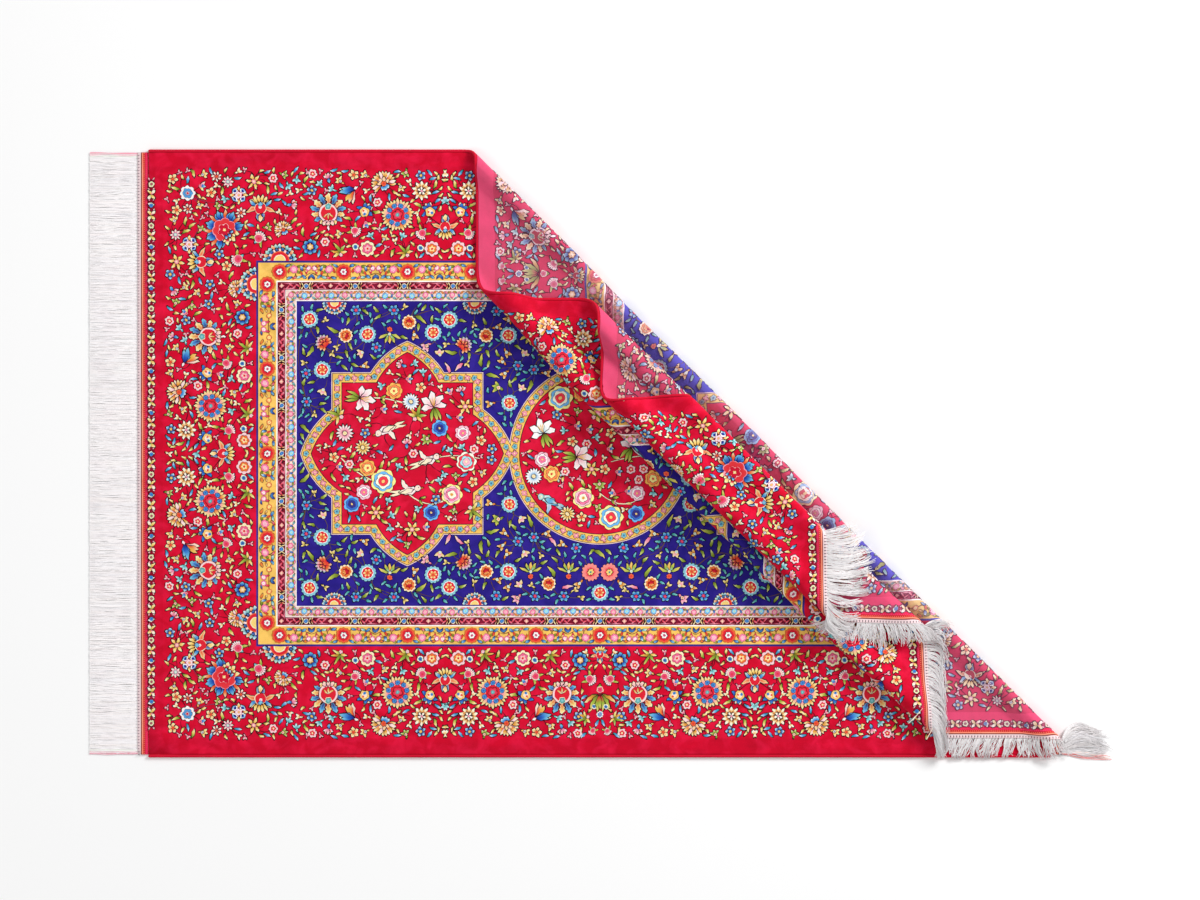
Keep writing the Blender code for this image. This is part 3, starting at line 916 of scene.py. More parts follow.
@dataclass
class EndBand:
    """The narrow flat-woven band at one short end, with its chain beads and its cords."""

    cloth: FoldedCloth
    side: int

    def box(self) -> FlatBox:
        """The band's place on the flat rug."""
        ends = sorted((self.side * BAND_INNER, self.side * BAND_OUTER))
        return FlatBox(self.cloth, ends[0], ends[1], -HALF_WIDTH, HALF_WIDTH,
                       flat_lines=90, layer_stride=2)

    def ground(self, name: str, material: bpy.types.Material) -> bpy.types.Object:
        """The band's woven cloth."""
        slab = DrapedSlab(self.box(), BAND_THICKNESS, 8, 0.001, rim=(0.0004, 0.0009))
        return slab.build(name, material, material)

    def beads(self, name: str, tool: NodeTool, pitch: float,
              columns: tuple[float, ...]) -> bpy.types.Object:
        """Columns of chain stitches on both sides of the cloth, made by the stitch tool.

        Args:
            name: The piece's name.
            tool: The stitch tool.
            pitch: From stitch to stitch.
            columns: Distances of the columns from the pile's end.

        Returns:
            The piece.
        """
        y = np.arange(-HALF_WIDTH + pitch / 2, HALF_WIDTH - 0.001, pitch)
        x = np.concatenate([np.full(len(y), self.side * (BAND_INNER + c)) for c in columns])
        y = np.concatenate([y + (n % 2) * pitch / 2 for n in range(len(columns))])
        s, v = (x + y) / ROOT2, (x - y) / ROOT2
        facing = np.cos(self.cloth.look_up(s, v)[2])
        face, turned = facing > -0.3, facing < 0.3
        lift = np.concatenate([np.full(face.sum(), BAND_THICKNESS - MIDDLE + 0.0001),
                               np.full(turned.sum(), -MIDDLE - 0.0001)])
        x, y = np.concatenate([x[face], x[turned]]), np.concatenate([y[face], y[turned]])
        return tool.run(name, stitch_guides(self.cloth, name, x, y, lift))

    def cords(self, name: str, tool: NodeTool, inset: float) -> bpy.types.Object:
        """One thin cord on each side of the cloth, made by the yarn tool."""
        y = np.linspace(-HALF_WIDTH + 0.001, HALF_WIDTH - 0.001, 620)
        x = np.full_like(y, self.side * (BAND_INNER + inset))
        paths = [self.cloth.place_flat(x, y, lift)
                 for lift in (BAND_THICKNESS - MIDDLE + 0.0002, -MIDDLE)]
        paths = np.array(paths[:1] if self.side < 0 else paths)
        paths[:, :, 2] = np.maximum(paths[:, :, 2], 0.0013)
        return tool.run(name, guide_lines(name, paths, np.ones((1, 1))))


def stitch_guides(cloth: FoldedCloth, name: str, x: np.ndarray, y: np.ndarray,
                  lift: float | np.ndarray) -> bpy.types.Mesh:
    """Guide points for the stitch tool, with the way along the rug's end and the way up."""
    mesh = bpy.data.meshes.new(name)
    here = cloth.place_flat(x, y, lift)
    along = cloth.place_flat(x, y + 0.001, lift) - here
    up = cloth.place_flat(x, y, lift + 0.001) - here
    here[:, 2] = np.maximum(here[:, 2], 0.0012)
    mesh.vertices.add(len(here))
    mesh.vertices.foreach_set("co", here.astype(np.float32).ravel())
    for title, rows in (("along", along), ("up", up)):
        layer = mesh.attributes.new(title, "FLOAT_VECTOR", "POINT")
        layer.data.foreach_set("vector", rows.astype(np.float32).ravel())
    return mesh


def stitch_tool(material: bpy.types.Material, size: tuple[float, float, float]) -> NodeTool:
    """The tree that sets one small padded stitch on each guide point."""
    tool = NodeTool("stitches", {
        "Material": ("NodeSocketMaterial", material),
        "Size": ("NodeSocketVector", size),
    })
    kit, source = tool.kit, tool.source
    bead = kit.add("GeometryNodeMeshUVSphere", {"Segments": 6, "Rings": 4, "Radius": 0.5})
    along = kit.add("GeometryNodeInputNamedAttribute", {"Name": "along"},
                    data_type="FLOAT_VECTOR")
    up = kit.add("GeometryNodeInputNamedAttribute", {"Name": "up"}, data_type="FLOAT_VECTOR")
    first = kit.add("FunctionNodeAlignRotationToVector", {"Vector": along.outputs[0]}, axis="X")
    turned = kit.add("FunctionNodeAlignRotationToVector", {
        "Rotation": first.outputs[0], "Vector": up.outputs[0]}, axis="Z", pivot_axis="X")
    points = kit.add("GeometryNodeMeshToPoints", {"Mesh": source["Geometry"]}).outputs[0]
    placed = kit.add("GeometryNodeInstanceOnPoints", {
        "Points": points, "Instance": bead.outputs[0], "Rotation": turned.outputs[0],
        "Scale": source["Size"]}).outputs[0]
    smooth = kit.add("GeometryNodeSetShadeSmooth", {"Geometry": placed}).outputs[0]
    tool.close(smooth)
    return tool


@dataclass
class Relief:
    """How high the things already laid stand, in small cells of the plan."""

    cell: float = 0.003
    corner: tuple[float, float] = (-1.0, -0.7)
    size: tuple[int, int] = (800, 470)

    def __post_init__(self) -> None:
        """Starts from the bare floor."""
        self.heights = np.zeros(self.size)

    def cells(self, x: np.ndarray, y: np.ndarray) -> tuple[np.ndarray, np.ndarray]:
        """The cell numbers of places."""
        column = np.clip(np.round((x - self.corner[0]) / self.cell), 1, self.size[0] - 2)
        row = np.clip(np.round((y - self.corner[1]) / self.cell), 1, self.size[1] - 2)
        return column.astype(int), row.astype(int)

    def lay(self, points: np.ndarray, spread: int = 1) -> None:
        """Raises the cells under and about points to the points' heights."""
        flat = points.reshape(-1, 3)
        column, row = self.cells(flat[:, 0], flat[:, 1])
        for across in range(-spread, spread + 1):
            for along in range(-spread, spread + 1):
                np.maximum.at(self.heights, (column + across, row + along), flat[:, 2])

    def top(self, x: np.ndarray, y: np.ndarray) -> np.ndarray:
        """The height under places."""
        column, row = self.cells(x, y)
        return self.heights[column, row]


@dataclass
class Fringe:
    """The cotton fringe of one short end: fine threads that lie in loose waves."""

    cloth: FoldedCloth
    side: int
    seed: int
    threads: int = 1850
    steps: int = 12
    length: float = 0.0805
    lock: float = 0.0050
    pile_up: float = 0.0030
    # For each folded layer from the floor up: how much denser its threads lie, how much they
    # stray, and from its first to its last root the root's share of the way along the layer,
    # then the bend and the tip as pixels of the photograph to the right and down
    lays: tuple = (
        (3.8, 3.8, ((0.0, 22, 5, 41, 2), (0.4, 20, -12, 42, -4), (1.0, 10, -26, 34, -8))),
        (0.9, 2.6, ((0.0, 2, 8, 9, 16), (0.2, 0, 9, 3, 19), (0.55, -5, 10, -8, 19),
                    (0.85, -4, 12, -5, 20), (1.0, 3, 10, 8, 22))),
        (1.0, 3.0, ((0.0, 6, 12, 10, 26), (0.2, 16, 8, 14, 30), (0.6, 18, 4, 14, 30),
                    (0.85, 17, -2, 17, 14), (1.0, 14, -12, 20, -4))),
        (1.2, 3.0, ((0.0, 12, 4, 18, 12), (0.25, 6, 8, 12, 19), (0.5, -1, 9, 2, 18),
                    (0.8, -8, 7, -12, 15), (1.0, -12, 4, -16, 8))),
        (1.25, 3.2, ((0.0, -6, 12, 10, 24), (0.15, 4, 16, 24, 20), (0.3, 18, 8, 36, 8),
                    (0.6, 22, 4, 42, -2), (0.85, 20, 2, 36, -5), (1.0, 14, 0, 26, -8))),
    )

    def straight(self) -> tuple[np.ndarray, np.ndarray, np.ndarray]:
        """The paths, tapers and tints of the flat end's threads, level on the floor."""
        random = np.random.default_rng(self.seed)
        reach = HALF_WIDTH - 0.0008
        y = np.linspace(-reach, reach, int(self.threads * PILE_WIDTH))
        count = len(y)
        share = np.linspace(0, 1, self.steps)[None, :]
        x = self.side * (FRINGE_START - 0.001 + self.length * share
                         * random.uniform(0.985, 1.0, count)[:, None])
        wave = self.waves(y[:, None] * 1000, share * 80, random) * 0.0010
        own = random.normal(0, 0.0006, count)[:, None] * np.sin(share * random.uniform(
            3, 9, count)[:, None])
        across = self.gathered(y)[:, None] * (share < 0.01) + y[:, None] * (share >= 0.01)
        across = np.clip(across + (wave + own) * np.minimum(share * 5, 1), -HALF_WIDTH - 0.003,
                         HALF_WIDTH + 0.003)
        level = random.uniform(0.0, 1.0, count)[:, None]
        z = 0.0008 + level * 0.0009 * (1 - 0.3 * share)
        tints = self.tints(count, random)
        for first, colour in ((0, (0.92, 0.40, 0.50)), (5, (0.95, 0.66, 0.70)),
                              (11, (0.86, 0.92, 0.84))):
            for edge in (slice(first, first + 3), slice(count - first - 3, count - first)):
                tints[edge] = colour
        return np.stack([x + 0 * across, across, z], axis=2), self.taper(count, random), tints

    def gathered(self, y: np.ndarray) -> np.ndarray:
        """Roots drawn together into the groups in which they leave the band."""
        middle = (np.floor(y / self.lock) + 0.5) * self.lock
        return middle + (y - middle) * 0.72

    def waves(self, across: np.ndarray, along: np.ndarray,
              random: np.random.Generator) -> np.ndarray:
        """A smooth shared sway of neighbouring threads, from -1 to 1."""
        total = 0.0
        for wide, deep in ((23, 31), (11, 19), (5.5, 26)):
            phase = random.uniform(0, math.tau, 2)
            total = total + np.sin(across / wide + phase[0] + 1.6 * np.sin(along / deep + phase[1]
                                                                        + across / 40))
        return total / 3

    def taper(self, count: int, random: np.random.Generator) -> np.ndarray:
        """Thickness along each thread."""
        share = np.linspace(0, 1, self.steps)
        return (1 - 0.35 * share ** 3) * random.uniform(0.8, 1.25, count)[:, None]

    def tints(self, count: int, random: np.random.Generator) -> np.ndarray:
        """A slightly different white for each thread."""
        value = random.uniform(0.955, 1.0, count)
        warm = random.uniform(-0.015, 0.015, count)
        return np.stack([value + warm, value, value - warm], axis=1)

    def folded(self, relief: Relief) -> tuple[np.ndarray, np.ndarray, np.ndarray]:
        """The same for the folded end, layer by layer on what lies under it, its threads darkened at
        random as painted shade.
        """
        random = np.random.default_rng(self.seed)
        fine = np.linspace(-HALF_WIDTH + 0.0005, HALF_WIDTH - 0.0005, 4000)
        x_root = FRINGE_START - 0.001
        layers = self.layers((x_root + fine) / ROOT2, (x_root - fine) / ROOT2)
        found = []
        for layer, (dense, stray, table) in enumerate(self.lays):
            ends = fine[layers == layer][[0, -1]]
            y = np.linspace(*ends, int(self.threads * dense * np.ptp(ends)))
            self.lay_cloth(relief, layer, x_root)
            paths = self.drape(x_root, y, relief, random, stray, np.array(table, float))
            relief.lay(paths, 0)
            found.append(paths)
        loose = np.array([[(911, 719), (921, 707)], [(907, 722), (918, 711)],
                          [(925, 738), (931, 727)]], float)
        line = loose[:, :1] + (loose[:, 1:] - loose[:, :1]) * np.linspace(0, 1, self.steps)[:, None]
        px = (line[:, :, 0] - RUG_MIDDLE_PX[0]) * PIXEL
        py = (RUG_MIDDLE_PX[1] - line[:, :, 1]) * PIXEL
        found.append(np.stack([px, py, relief.top(px, py).max(axis=1)[:, None] + 0.0012 + 0 * px],
                              axis=2))
        paths = np.concatenate(found)
        # Each folded thread is darkened at random: painted shade among the heaped threads
        tints = self.tints(len(paths), random) * random.uniform(0.66, 0.94, (len(paths), 1))
        tints[-len(loose):] = (0.98, 0.86, 0.66)
        tints[:4] = (0.95, 0.25, 0.25)
        tints[4:9] = (1.0, 0.80, 0.72)
        return paths, self.taper(len(paths), random), tints

    def layers(self, s: np.ndarray, v: np.ndarray) -> np.ndarray:
        """The number of the layer that each flat place lies in, counted from the floor."""
        period = self.cloth.loop_steps + self.cloth.layer_steps
        rows = np.clip(np.round((v - self.cloth.vs[0]) / self.cloth.v_step), 0,
                       len(self.cloth.vs) - 1).astype(int)
        layer = np.zeros(len(s), int)
        for number in range(len(self.cloth.folds)):
            half = self.cloth.lengths[rows, number * period + self.cloth.loop_steps // 2]
            layer += s > half
        return layer

    def lay_cloth(self, relief: Relief, layer: int, x_end: float) -> None:
        """Lays all the cloth up to a layer on the relief."""
        grid_x, grid_y = np.meshgrid(np.arange(0.05, x_end, 0.002),
                                     np.arange(-HALF_WIDTH, HALF_WIDTH, 0.002))
        x, y = grid_x.ravel(), grid_y.ravel()
        s, v = (x + y) / ROOT2, (x - y) / ROOT2
        under = self.layers(s, v) < max(layer, 1)
        relief.lay(self.cloth.place(s[under], v[under], 0.0) + np.array([0, 0, MIDDLE]))

    def drape(self, x_root: float, y: np.ndarray, relief: Relief, random: np.random.Generator,
              stray: float, table: np.ndarray) -> np.ndarray:
        """Lays the threads of one layer from their roots outwards and down.

        Args:
            x_root: Flat X of the roots.
            y: Flat Y of the roots.
            relief: What the threads lie on.
            random: The source of their differences.
            stray: How far they stray, in pixels of the photograph.
            table: Rows of share along the layer, bend and tip, as in lays.

        Returns:
            The paths of the threads.
        """
        count, steps = len(y), self.steps
        gathered = self.gathered(y)
        root = self.cloth.place_flat(np.full(count, x_root), gathered, BAND_THICKNESS / 2 - MIDDLE)
        part = (y - y[0]) / np.ptp(y)
        bend, tip = [np.stack([np.interp(part, table[:, 0], table[:, i]),
                               -np.interp(part, table[:, 0], table[:, i + 1])], axis=1)
                     for i in (1, 3)]
        locks = (np.arange(count) // 9).astype(int)
        for target, share in ((bend, 0.8), (tip, 1.0)):
            target += random.normal(0, stray * share, (locks.max() + 1, 2))[locks]
            target += random.normal(0, stray * 0.5, (count, 2))
        bend, tip = bend * PIXEL, tip * PIXEL * random.uniform(0.92, 1.06, count)[:, None]
        share = np.linspace(0, 1, steps)[None, :, None]
        flat = (root[:, None, :2] + 2 * share * (1 - share) * bend[:, None]
                + share ** 2 * tip[:, None])
        way = np.gradient(flat, axis=1)
        way /= np.linalg.norm(way, axis=2)[:, :, None] + 1e-9
        wave = (self.waves(y[:, None] * 1000, share[:, :, 0] * 60, random) * 0.0016
                + random.normal(0, 0.0009, count)[:, None]
                * np.sin(share[:, :, 0] * random.uniform(4, 13, count)[:, None]))
        wave *= np.minimum(share[:, :, 0] * 4, 1)
        px, py = flat[:, :, 0] - way[:, :, 1] * wave, flat[:, :, 1] + way[:, :, 0] * wave
        lowest = -HALF_WIDTH - SELVEDGE_WIDTH - 0.003
        py = np.where(py < lowest, lowest + (py - lowest) * 0.1, py)
        under = relief.top(px, py)
        high = under.copy()
        for shift in (1, 2):
            high[:, :-shift] = np.maximum(high[:, :-shift], under[:, shift:] - 0.008 * shift)
        stack = random.uniform(0.1, 1.0, count)[:, None] * self.pile_up
        distance = np.hypot(px - px[:, :1], py - py[:, :1])
        fall = root[:, 2:3] - 6.0 * distance ** 2
        rise = np.minimum(1, np.linspace(0, 1, steps) * 4)[None, :]
        z = np.maximum(high + 0.0008 + stack * rise, fall)
        z[:, 0] = root[:, 2]
        for _ in range(2):
            z[:, 1:-1] = np.maximum(z[:, 1:-1], (z[:, :-2] + z[:, 2:]) / 2)
        return np.stack([px, py, z], axis=2)

    def knots(self, name: str, tool: NodeTool, last_y: float) -> bpy.types.Object:
        """The dark stitches between the groups of threads where they leave the band."""
        y = np.arange(math.ceil(-HALF_WIDTH / self.lock), last_y / self.lock) * self.lock
        lift = np.full(len(y), BAND_THICKNESS - MIDDLE)
        if self.side > 0:
            y, lift = np.tile(y, 2), np.concatenate([lift, 0 * lift - MIDDLE])
        x = np.full_like(y, self.side * (BAND_OUTER - 0.0023))
        return tool.run(name, stitch_guides(self.cloth, name, x, y, lift))

    def build(self, name: str, tool: NodeTool, parts: tuple) -> bpy.types.Object:
        """Makes the threads with the yarn tool from their paths, tapers and tints."""
        return tool.run(name, guide_lines(name, *parts))


Colour = tuple[int, int, int]
YELLOW: Colour = (246, 212, 124)
GOLD: Colour = (226, 156, 62)
ORANGE: Colour = (232, 108, 54)
SCARLET: Colour = (222, 34, 52)
ROSE: Colour = (232, 96, 138)
PINK: Colour = (242, 164, 180)
BLUSH: Colour = (250, 216, 216)
CREAM: Colour = (250, 236, 200)
WHITE: Colour = (252, 248, 246)
AQUA: Colour = (146, 208, 216)
SKY: Colour = (84, 158, 214)
AZURE: Colour = (30, 80, 178)
NAVY: Colour = (28, 26, 110)
TEAL: Colour = (48, 146, 140)
LEAF: Colour = (150, 176, 62)
OLIVE: Colour = (104, 104, 34)
WINE: Colour = (44, 12, 24)
INK: Colour = (18, 10, 48)


@dataclass
class Drawing:
    """A flat drawing of woven yarn: points in metres, their colours and heights, and faces."""

    points: np.ndarray
    colours: np.ndarray
    levels: np.ndarray
    faces: np.ndarray

    @classmethod
    def joined(cls, parts: list[Drawing]) -> Drawing:
        """Puts several drawings together, neighbours a hair apart so that none coincide."""
        starts = np.cumsum([0] + [len(p.points) for p in parts[:-1]])
        hairs = [0.15 * (number % 5) for number in range(len(parts))]
        return cls(
            np.concatenate([p.points for p in parts]),
            np.concatenate([p.colours for p in parts]),
            np.concatenate([p.levels + hair for p, hair in zip(parts, hairs)]),
            np.concatenate([p.faces + start for p, start in zip(parts, starts)]),
        )

    def moved(self, x: float = 0.0, y: float = 0.0, turn: float = 0.0, size: float = 1.0,
              raised: int = 0, flip: bool = False) -> Drawing:
        """The drawing turned by an angle in degrees, sized, raised and moved."""
        cos, sin = math.cos(math.radians(turn)) * size, math.sin(math.radians(turn)) * size
        px, py = self.points[:, 0], self.points[:, 1] * (-1 if flip else 1)
        points = np.stack([x + px * cos - py * sin, y + px * sin + py * cos], axis=1)
        faces = self.faces[:, ::-1] if flip else self.faces
        return Drawing(points, self.colours, self.levels + raised, faces)

    def mirrored(self, sx: int, sy: int) -> Drawing:
        """The drawing in another quarter of the rug."""
        faces = self.faces[:, ::-1] if sx * sy < 0 else self.faces
        return Drawing(self.points * np.array([sx, sy]), self.colours, self.levels, faces)


def blend(colours: tuple[Colour, ...], share: np.ndarray) -> np.ndarray:
    """Display colours at shares of the way through a row of colours."""
    rows = np.array(colours, float)
    stops = np.linspace(0, 1, len(rows))
    return np.stack([np.interp(share, stops, rows[:, i]) for i in range(3)], axis=-1)


def petal(length: float, width: float, colours: tuple[Colour, ...], start: float = 0.0,
          turn: float = 0.0, belly: float = 0.55, bend: float = 0.0, steps: int = 4,
          level: int = 2, edge: Colour | None = None, outline: Colour | None = WINE,
          border: float = 0.95, blunt: float = 0.8, ragged: float = 0.17) -> Drawing:
    """One petal or leaf that grows along X.

    Args:
        length: From root to tip, in millimetres, as all sizes here.
        width: Its greatest width.
        colours: Colours from its root to its tip.
        start: Where its root lies.
        turn: Its angle about the origin, in degrees.
        belly: How far along it is widest.
        bend: How far its tip strays to one side.
        steps: Stretches along it.
        level: Its height in steps off the ground.
        edge: Colour of its rims.
        outline: Colour of the line round it.
        border: Width of that line.
        blunt: How full its ends are; less is fuller.
        ragged: How far its rims stand in and out, as a share of its width.

    Returns:
        The drawing.
    """
    power = math.log(0.5) / math.log(belly)
    share = np.linspace(0, 1, steps + 1)
    half = width / 2 * np.sin(np.pi * share ** power) ** blunt
    x, side = start + length * share, bend * share ** 2
    saw = ragged * np.where(np.arange(steps + 1) % 2, -1, 1)
    halves = (half * (1 - saw), 0 * half, -half * (1 + saw))
    inner = blend(colours, share)
    outer = inner if edge is None else inner * 0.35 + np.array(edge, float) * 0.65
    points = np.concatenate([np.stack([x, side + h], axis=1) for h in halves])
    shades = np.concatenate([outer, inner, outer])
    n, faces = steps + 1, []
    for row in (0, n):
        for i in range(steps):
            a, b, c, d = row + i, row + i + 1, row + n + i, row + n + i + 1
            faces += [(a, c, b)] * (i > 0) + [(b, c, d)] * (i < steps - 1 or True)
    parts = [Drawing(points / 1000, shades, np.full(3 * n, level), np.array(faces))]
    if outline is not None:
        x = start - border + (length + 2.2 * border) * share
        rim = np.concatenate([np.stack([x, side + h + border * k], axis=1)
                              for h, k in zip(halves, (1, 0, -1))])
        shade = np.tile(np.array(outline, float), (3 * n, 1))
        strips = [f for row in (0, n) for i in range(row, row + steps)
                  for f in ((i, n + i, i + 1), (i + 1, n + i, n + i + 1))]
        parts.append(Drawing(rim / 1000, shade, np.full(3 * n, level - 1), np.array(strips)))
    return Drawing.joined(parts).moved(turn=turn)


def disc(radius: float, colours: tuple[Colour, ...], lobes: int = 0, depth: float = 0.2,
         sides: int = 12, level: int = 3, outline: Colour | None = None,
         border: float = 0.9, x: float = 0.0, y: float = 0.0, rings: int = 0) -> Drawing:
    """A round or scalloped spot, its colours running from the middle to the rim."""
    rings = rings or 1 + (radius > 8.5) + (radius > 13.5)
    if lobes:
        sides = lobes * 4
    angle = np.linspace(0, math.tau, sides, endpoint=False)
    shape = 1 - depth * (1 - np.abs(np.cos(angle * lobes / 2))) if lobes else np.ones(sides)
    points, shades, faces = [np.zeros((1, 2))], [np.array([colours[0]], float)], []
    for ring in range(1, rings + 1):
        reach = radius * ring / rings * (shape if ring == rings else 1)
        points.append(np.stack([np.cos(angle) * reach, np.sin(angle) * reach], axis=1))
        shades.append(np.tile(blend(colours, np.array([ring / rings])), (sides, 1)))
        first, before = 1 + (ring - 1) * sides, 1 + (ring - 2) * sides
        for i in range(sides):
            j = (i + 1) % sides
            if ring == 1:
                faces.append((0, first + i, first + j))
            else:
                faces += [(before + i, first + i, first + j), (before + i, first + j, before + j)]
    flat = np.concatenate(points) + np.array([x, y])
    parts = [Drawing(flat / 1000, np.concatenate(shades), np.full(len(flat), level),
                     np.array(faces))]
    if outline is not None:
        parts.append(disc(radius + border, (outline, outline), lobes, depth * 0.8, sides,
                          level - 1, x=x, y=y, rings=rings))
    return Drawing.joined(parts)


def ring_of(count: int, part: Drawing, first: float = 0.0, sweep: float = 360.0) -> list[Drawing]:
    """Copies of a drawing round the origin."""
    gap = sweep / (count if sweep == 360.0 else max(count - 1, 1))
    return [part.moved(turn=first + gap * i) for i in range(count)]


def stroke(spots: list[tuple[float, float]], width: float, colour: Colour,
           level: int = 0, steps: int = 8) -> Drawing:
    """A stem through a few places, in millimetres, smoothly bent."""
    rows = np.array(spots, float)
    mark = np.linspace(0, 1, len(rows))
    share = np.linspace(0, 1, steps + 1)
    order = min(3, len(rows) - 1)
    line = np.stack([np.polyval(np.polyfit(mark, rows[:, i], order), share) for i in (0, 1)],
                    axis=1)
    way = np.gradient(line, axis=0)
    way /= np.linalg.norm(way, axis=1)[:, None]
    side = np.stack([-way[:, 1], way[:, 0]], axis=1) * width / 2
    n = steps + 1
    points = np.concatenate([line + side, line - side]) / 1000
    faces = [f for i in range(steps) for f in ((i, n + i, i + 1), (i + 1, n + i, n + i + 1))]
    return Drawing(points, np.tile(np.array(colour, float), (2 * n, 1)),
                   np.full(2 * n, level), np.array(faces))


class Motifs:
    """The rug's flowers and leaves, drawn once each at full size, pointing along X."""

    def __init__(self) -> None:
        """Draws every motif."""
        self.ray_palmette = self.make_ray_palmette()
        self.ragged_palmette = self.make_ragged_palmette()
        self.corner_palmette = self.make_corner_palmette()
        self.fleur = self.make_fleur()
        self.peony = self.make_peony()
        self.fan = self.make_fan()
        self.bud = self.make_bud()
        self.crescent = self.make_crescent()
        self.wheel = self.make_wheel()
        self.star_yellow = self.make_star(6, YELLOW, GOLD, ROSE, 13.5)
        self.star_white = self.make_star(8, BLUSH, ROSE, AQUA, 9.5)
        self.pink_rosette = self.make_rosette(13, 8, (PINK, BLUSH), ORANGE, YELLOW)
        self.yellow_rosette = self.make_rosette(13.5, 8, (YELLOW, CREAM), ROSE, PINK)
        self.blue_rosette = self.make_petal_rosette()
        self.star_rosette = self.make_rosette(13, 8, (BLUSH, WHITE), SKY, AZURE)
        self.cross_flower = self.make_cross_flower()
        self.eye = Drawing.joined([disc(5.6, (WHITE, CREAM), 5, 0.12, level=3, outline=WINE),
                                   disc(3.6, (NAVY, SKY), level=4)])
        self.sprig = self.make_sprig()
        self.half_rosette = self.make_half_rosette()
        self.field_rosette = self.make_field_rosette()
        self.rose_rosette = self.make_rose_rosette()
        self.orange_flower = self.make_orange_flower()
        self.pompon = self.make_pompon()
        self.lily_spray = self.make_lily_spray()
        self.small = self.make_small()
        self.field_small = self.make_field_small()

    def make_ray_palmette(self) -> Drawing:
        """The largest palmette: long blue and orange rays round a red heart."""
        parts = []
        blue = petal(21, 8.2, (NAVY, NAVY, AZURE, SKY, AQUA), 14, belly=0.6, steps=7,
                     blunt=0.7, edge=AQUA, ragged=0.24)
        warm = petal(19.5, 9.0, (SCARLET, ORANGE, GOLD, YELLOW, CREAM), 14, belly=0.6,
                     steps=7, blunt=0.7, edge=CREAM, ragged=0.24)
        for number, turn in enumerate(range(-144, 145, 24)):
            size = 1.0 - 0.32 * (abs(turn) / 144) ** 1.6
            parts.append((blue if number % 2 else warm).moved(turn=turn, size=size))
        parts.append(disc(15.5, (PINK, BLUSH), level=4, sides=20, outline=WINE))
        parts.append(disc(12.6, (SCARLET, SCARLET), level=5, sides=16))
        for turn in (-50, 0, 50):
            parts.append(petal(11, 2.6, (CREAM, GOLD), 0, 180 + turn, level=7, outline=WINE,
                               border=0.4))
        parts.append(disc(5.2, (AQUA, TEAL), 5, 0.2, level=8, outline=CREAM, x=11))
        parts += [petal(9, 6, (PINK, CREAM), 13, 180 + turn, level=6) for turn in (-22, 0, 22)]
        parts.append(petal(9, 3.4, (BLUSH, WHITE), 20, 180, level=8))
        return Drawing.joined(parts)

    def make_ragged_palmette(self) -> Drawing:
        """A round palmette of jagged yellow and pink petals with blue balls between."""
        parts = []
        for number in range(9):
            turn = number * 40
            warm = (SCARLET, ORANGE, YELLOW, CREAM) if number % 2 else (ROSE, PINK, YELLOW, CREAM)
            for swing, size in ((-13, 0.84), (13, 0.84), (0, 1.0)):
                parts.append(petal(16 * size, 5.6, warm, 12.5, turn + swing, belly=0.5,
                                   level=3 + (swing == 0), steps=4))
            parts.append(disc(3.7, (AZURE, SKY), level=7, sides=8, outline=NAVY,
                              x=15.5 * math.cos(math.radians(turn + 20)),
                              y=15.5 * math.sin(math.radians(turn + 20))))
        parts.append(disc(13.2, (SCARLET, SCARLET), 6, 0.12, level=6, outline=BLUSH))
        parts.append(disc(8.6, (ROSE, SCARLET), 5, 0.3, level=8, outline=WINE))
        parts.append(disc(3.4, (AQUA, TEAL), level=9, sides=8))
        return Drawing.joined(parts)

    def make_corner_palmette(self) -> Drawing:
        """The corner palmette: a scalloped red heart with blue and red leaves in front."""
        parts = []
        for number, turn in enumerate(range(-120, 121, 24)):
            if number % 2:
                leaf = petal(17, 5.5, (SCARLET, ORANGE, CREAM), 17, turn, steps=4)
                parts.append(leaf)
            else:
                for swing, size in ((-9, 0.78), (9, 0.78), (0, 1.0)):
                    parts.append(petal(17 * size, 7, (NAVY, AZURE, SKY, AQUA), 16.5,
                                       turn + swing, level=3 + (swing == 0), steps=4))
        for turn in (150, 180, 210):
            parts.append(petal(13, 7, (GOLD, YELLOW, CREAM), 13, turn, level=4))
        parts.append(disc(19.5, (SCARLET, (226, 60, 64)), 7, 0.16, level=5, outline=PINK,
                          border=1.0))
        parts.append(disc(11, ((206, 20, 50), (206, 20, 50)), 5, 0.34, level=7, outline=BLUSH,
                          border=0.45))
        parts.append(disc(3, (CREAM, YELLOW), 4, 0.4, level=8))
        for turn in (150, 180, 210):
            parts.append(petal(6.5, 4.6, (NAVY, SKY, WHITE), 9, turn, level=8))
            parts.append(petal(5.5, 4, (YELLOW, CREAM), 15.5, turn + 14, level=8))
        return Drawing.joined(parts)

    def make_fleur(self) -> Drawing:
        """A lily palmette with curled wings, a fan behind and a drop in front."""
        parts = [petal(12, 4.6, (GOLD, YELLOW, CREAM), 9, turn, level=2)
                 for turn in (130, 150, 170, 190, 210, 230)]
        for side in (-1, 1):
            parts.append(petal(20, 7.5, (SCARLET, ORANGE, YELLOW), 2, side * 95, bend=-side * 8,
                               level=3, edge=CREAM, steps=5))
            parts.append(petal(15, 5, (AZURE, SKY, CREAM), 6, side * 118, bend=side * 3,
                               level=4))
            parts.append(petal(15, 5.5, (NAVY, AZURE, SKY), 4, side * 22, bend=-side * 3,
                               level=4, edge=CREAM))
        parts.append(disc(8.5, (SCARLET, SCARLET), level=5, sides=12, outline=CREAM, border=0.9))
        parts.append(disc(3.6, (AQUA, SKY), 4, 0.3, level=7, outline=WINE, x=-6))
        parts.append(petal(12, 7, (ORANGE, YELLOW, CREAM), 9, level=6, edge=CREAM))
        parts.append(disc(2.5, (PINK, WHITE), level=7, sides=8, x=-2))
        return Drawing.joined(parts)

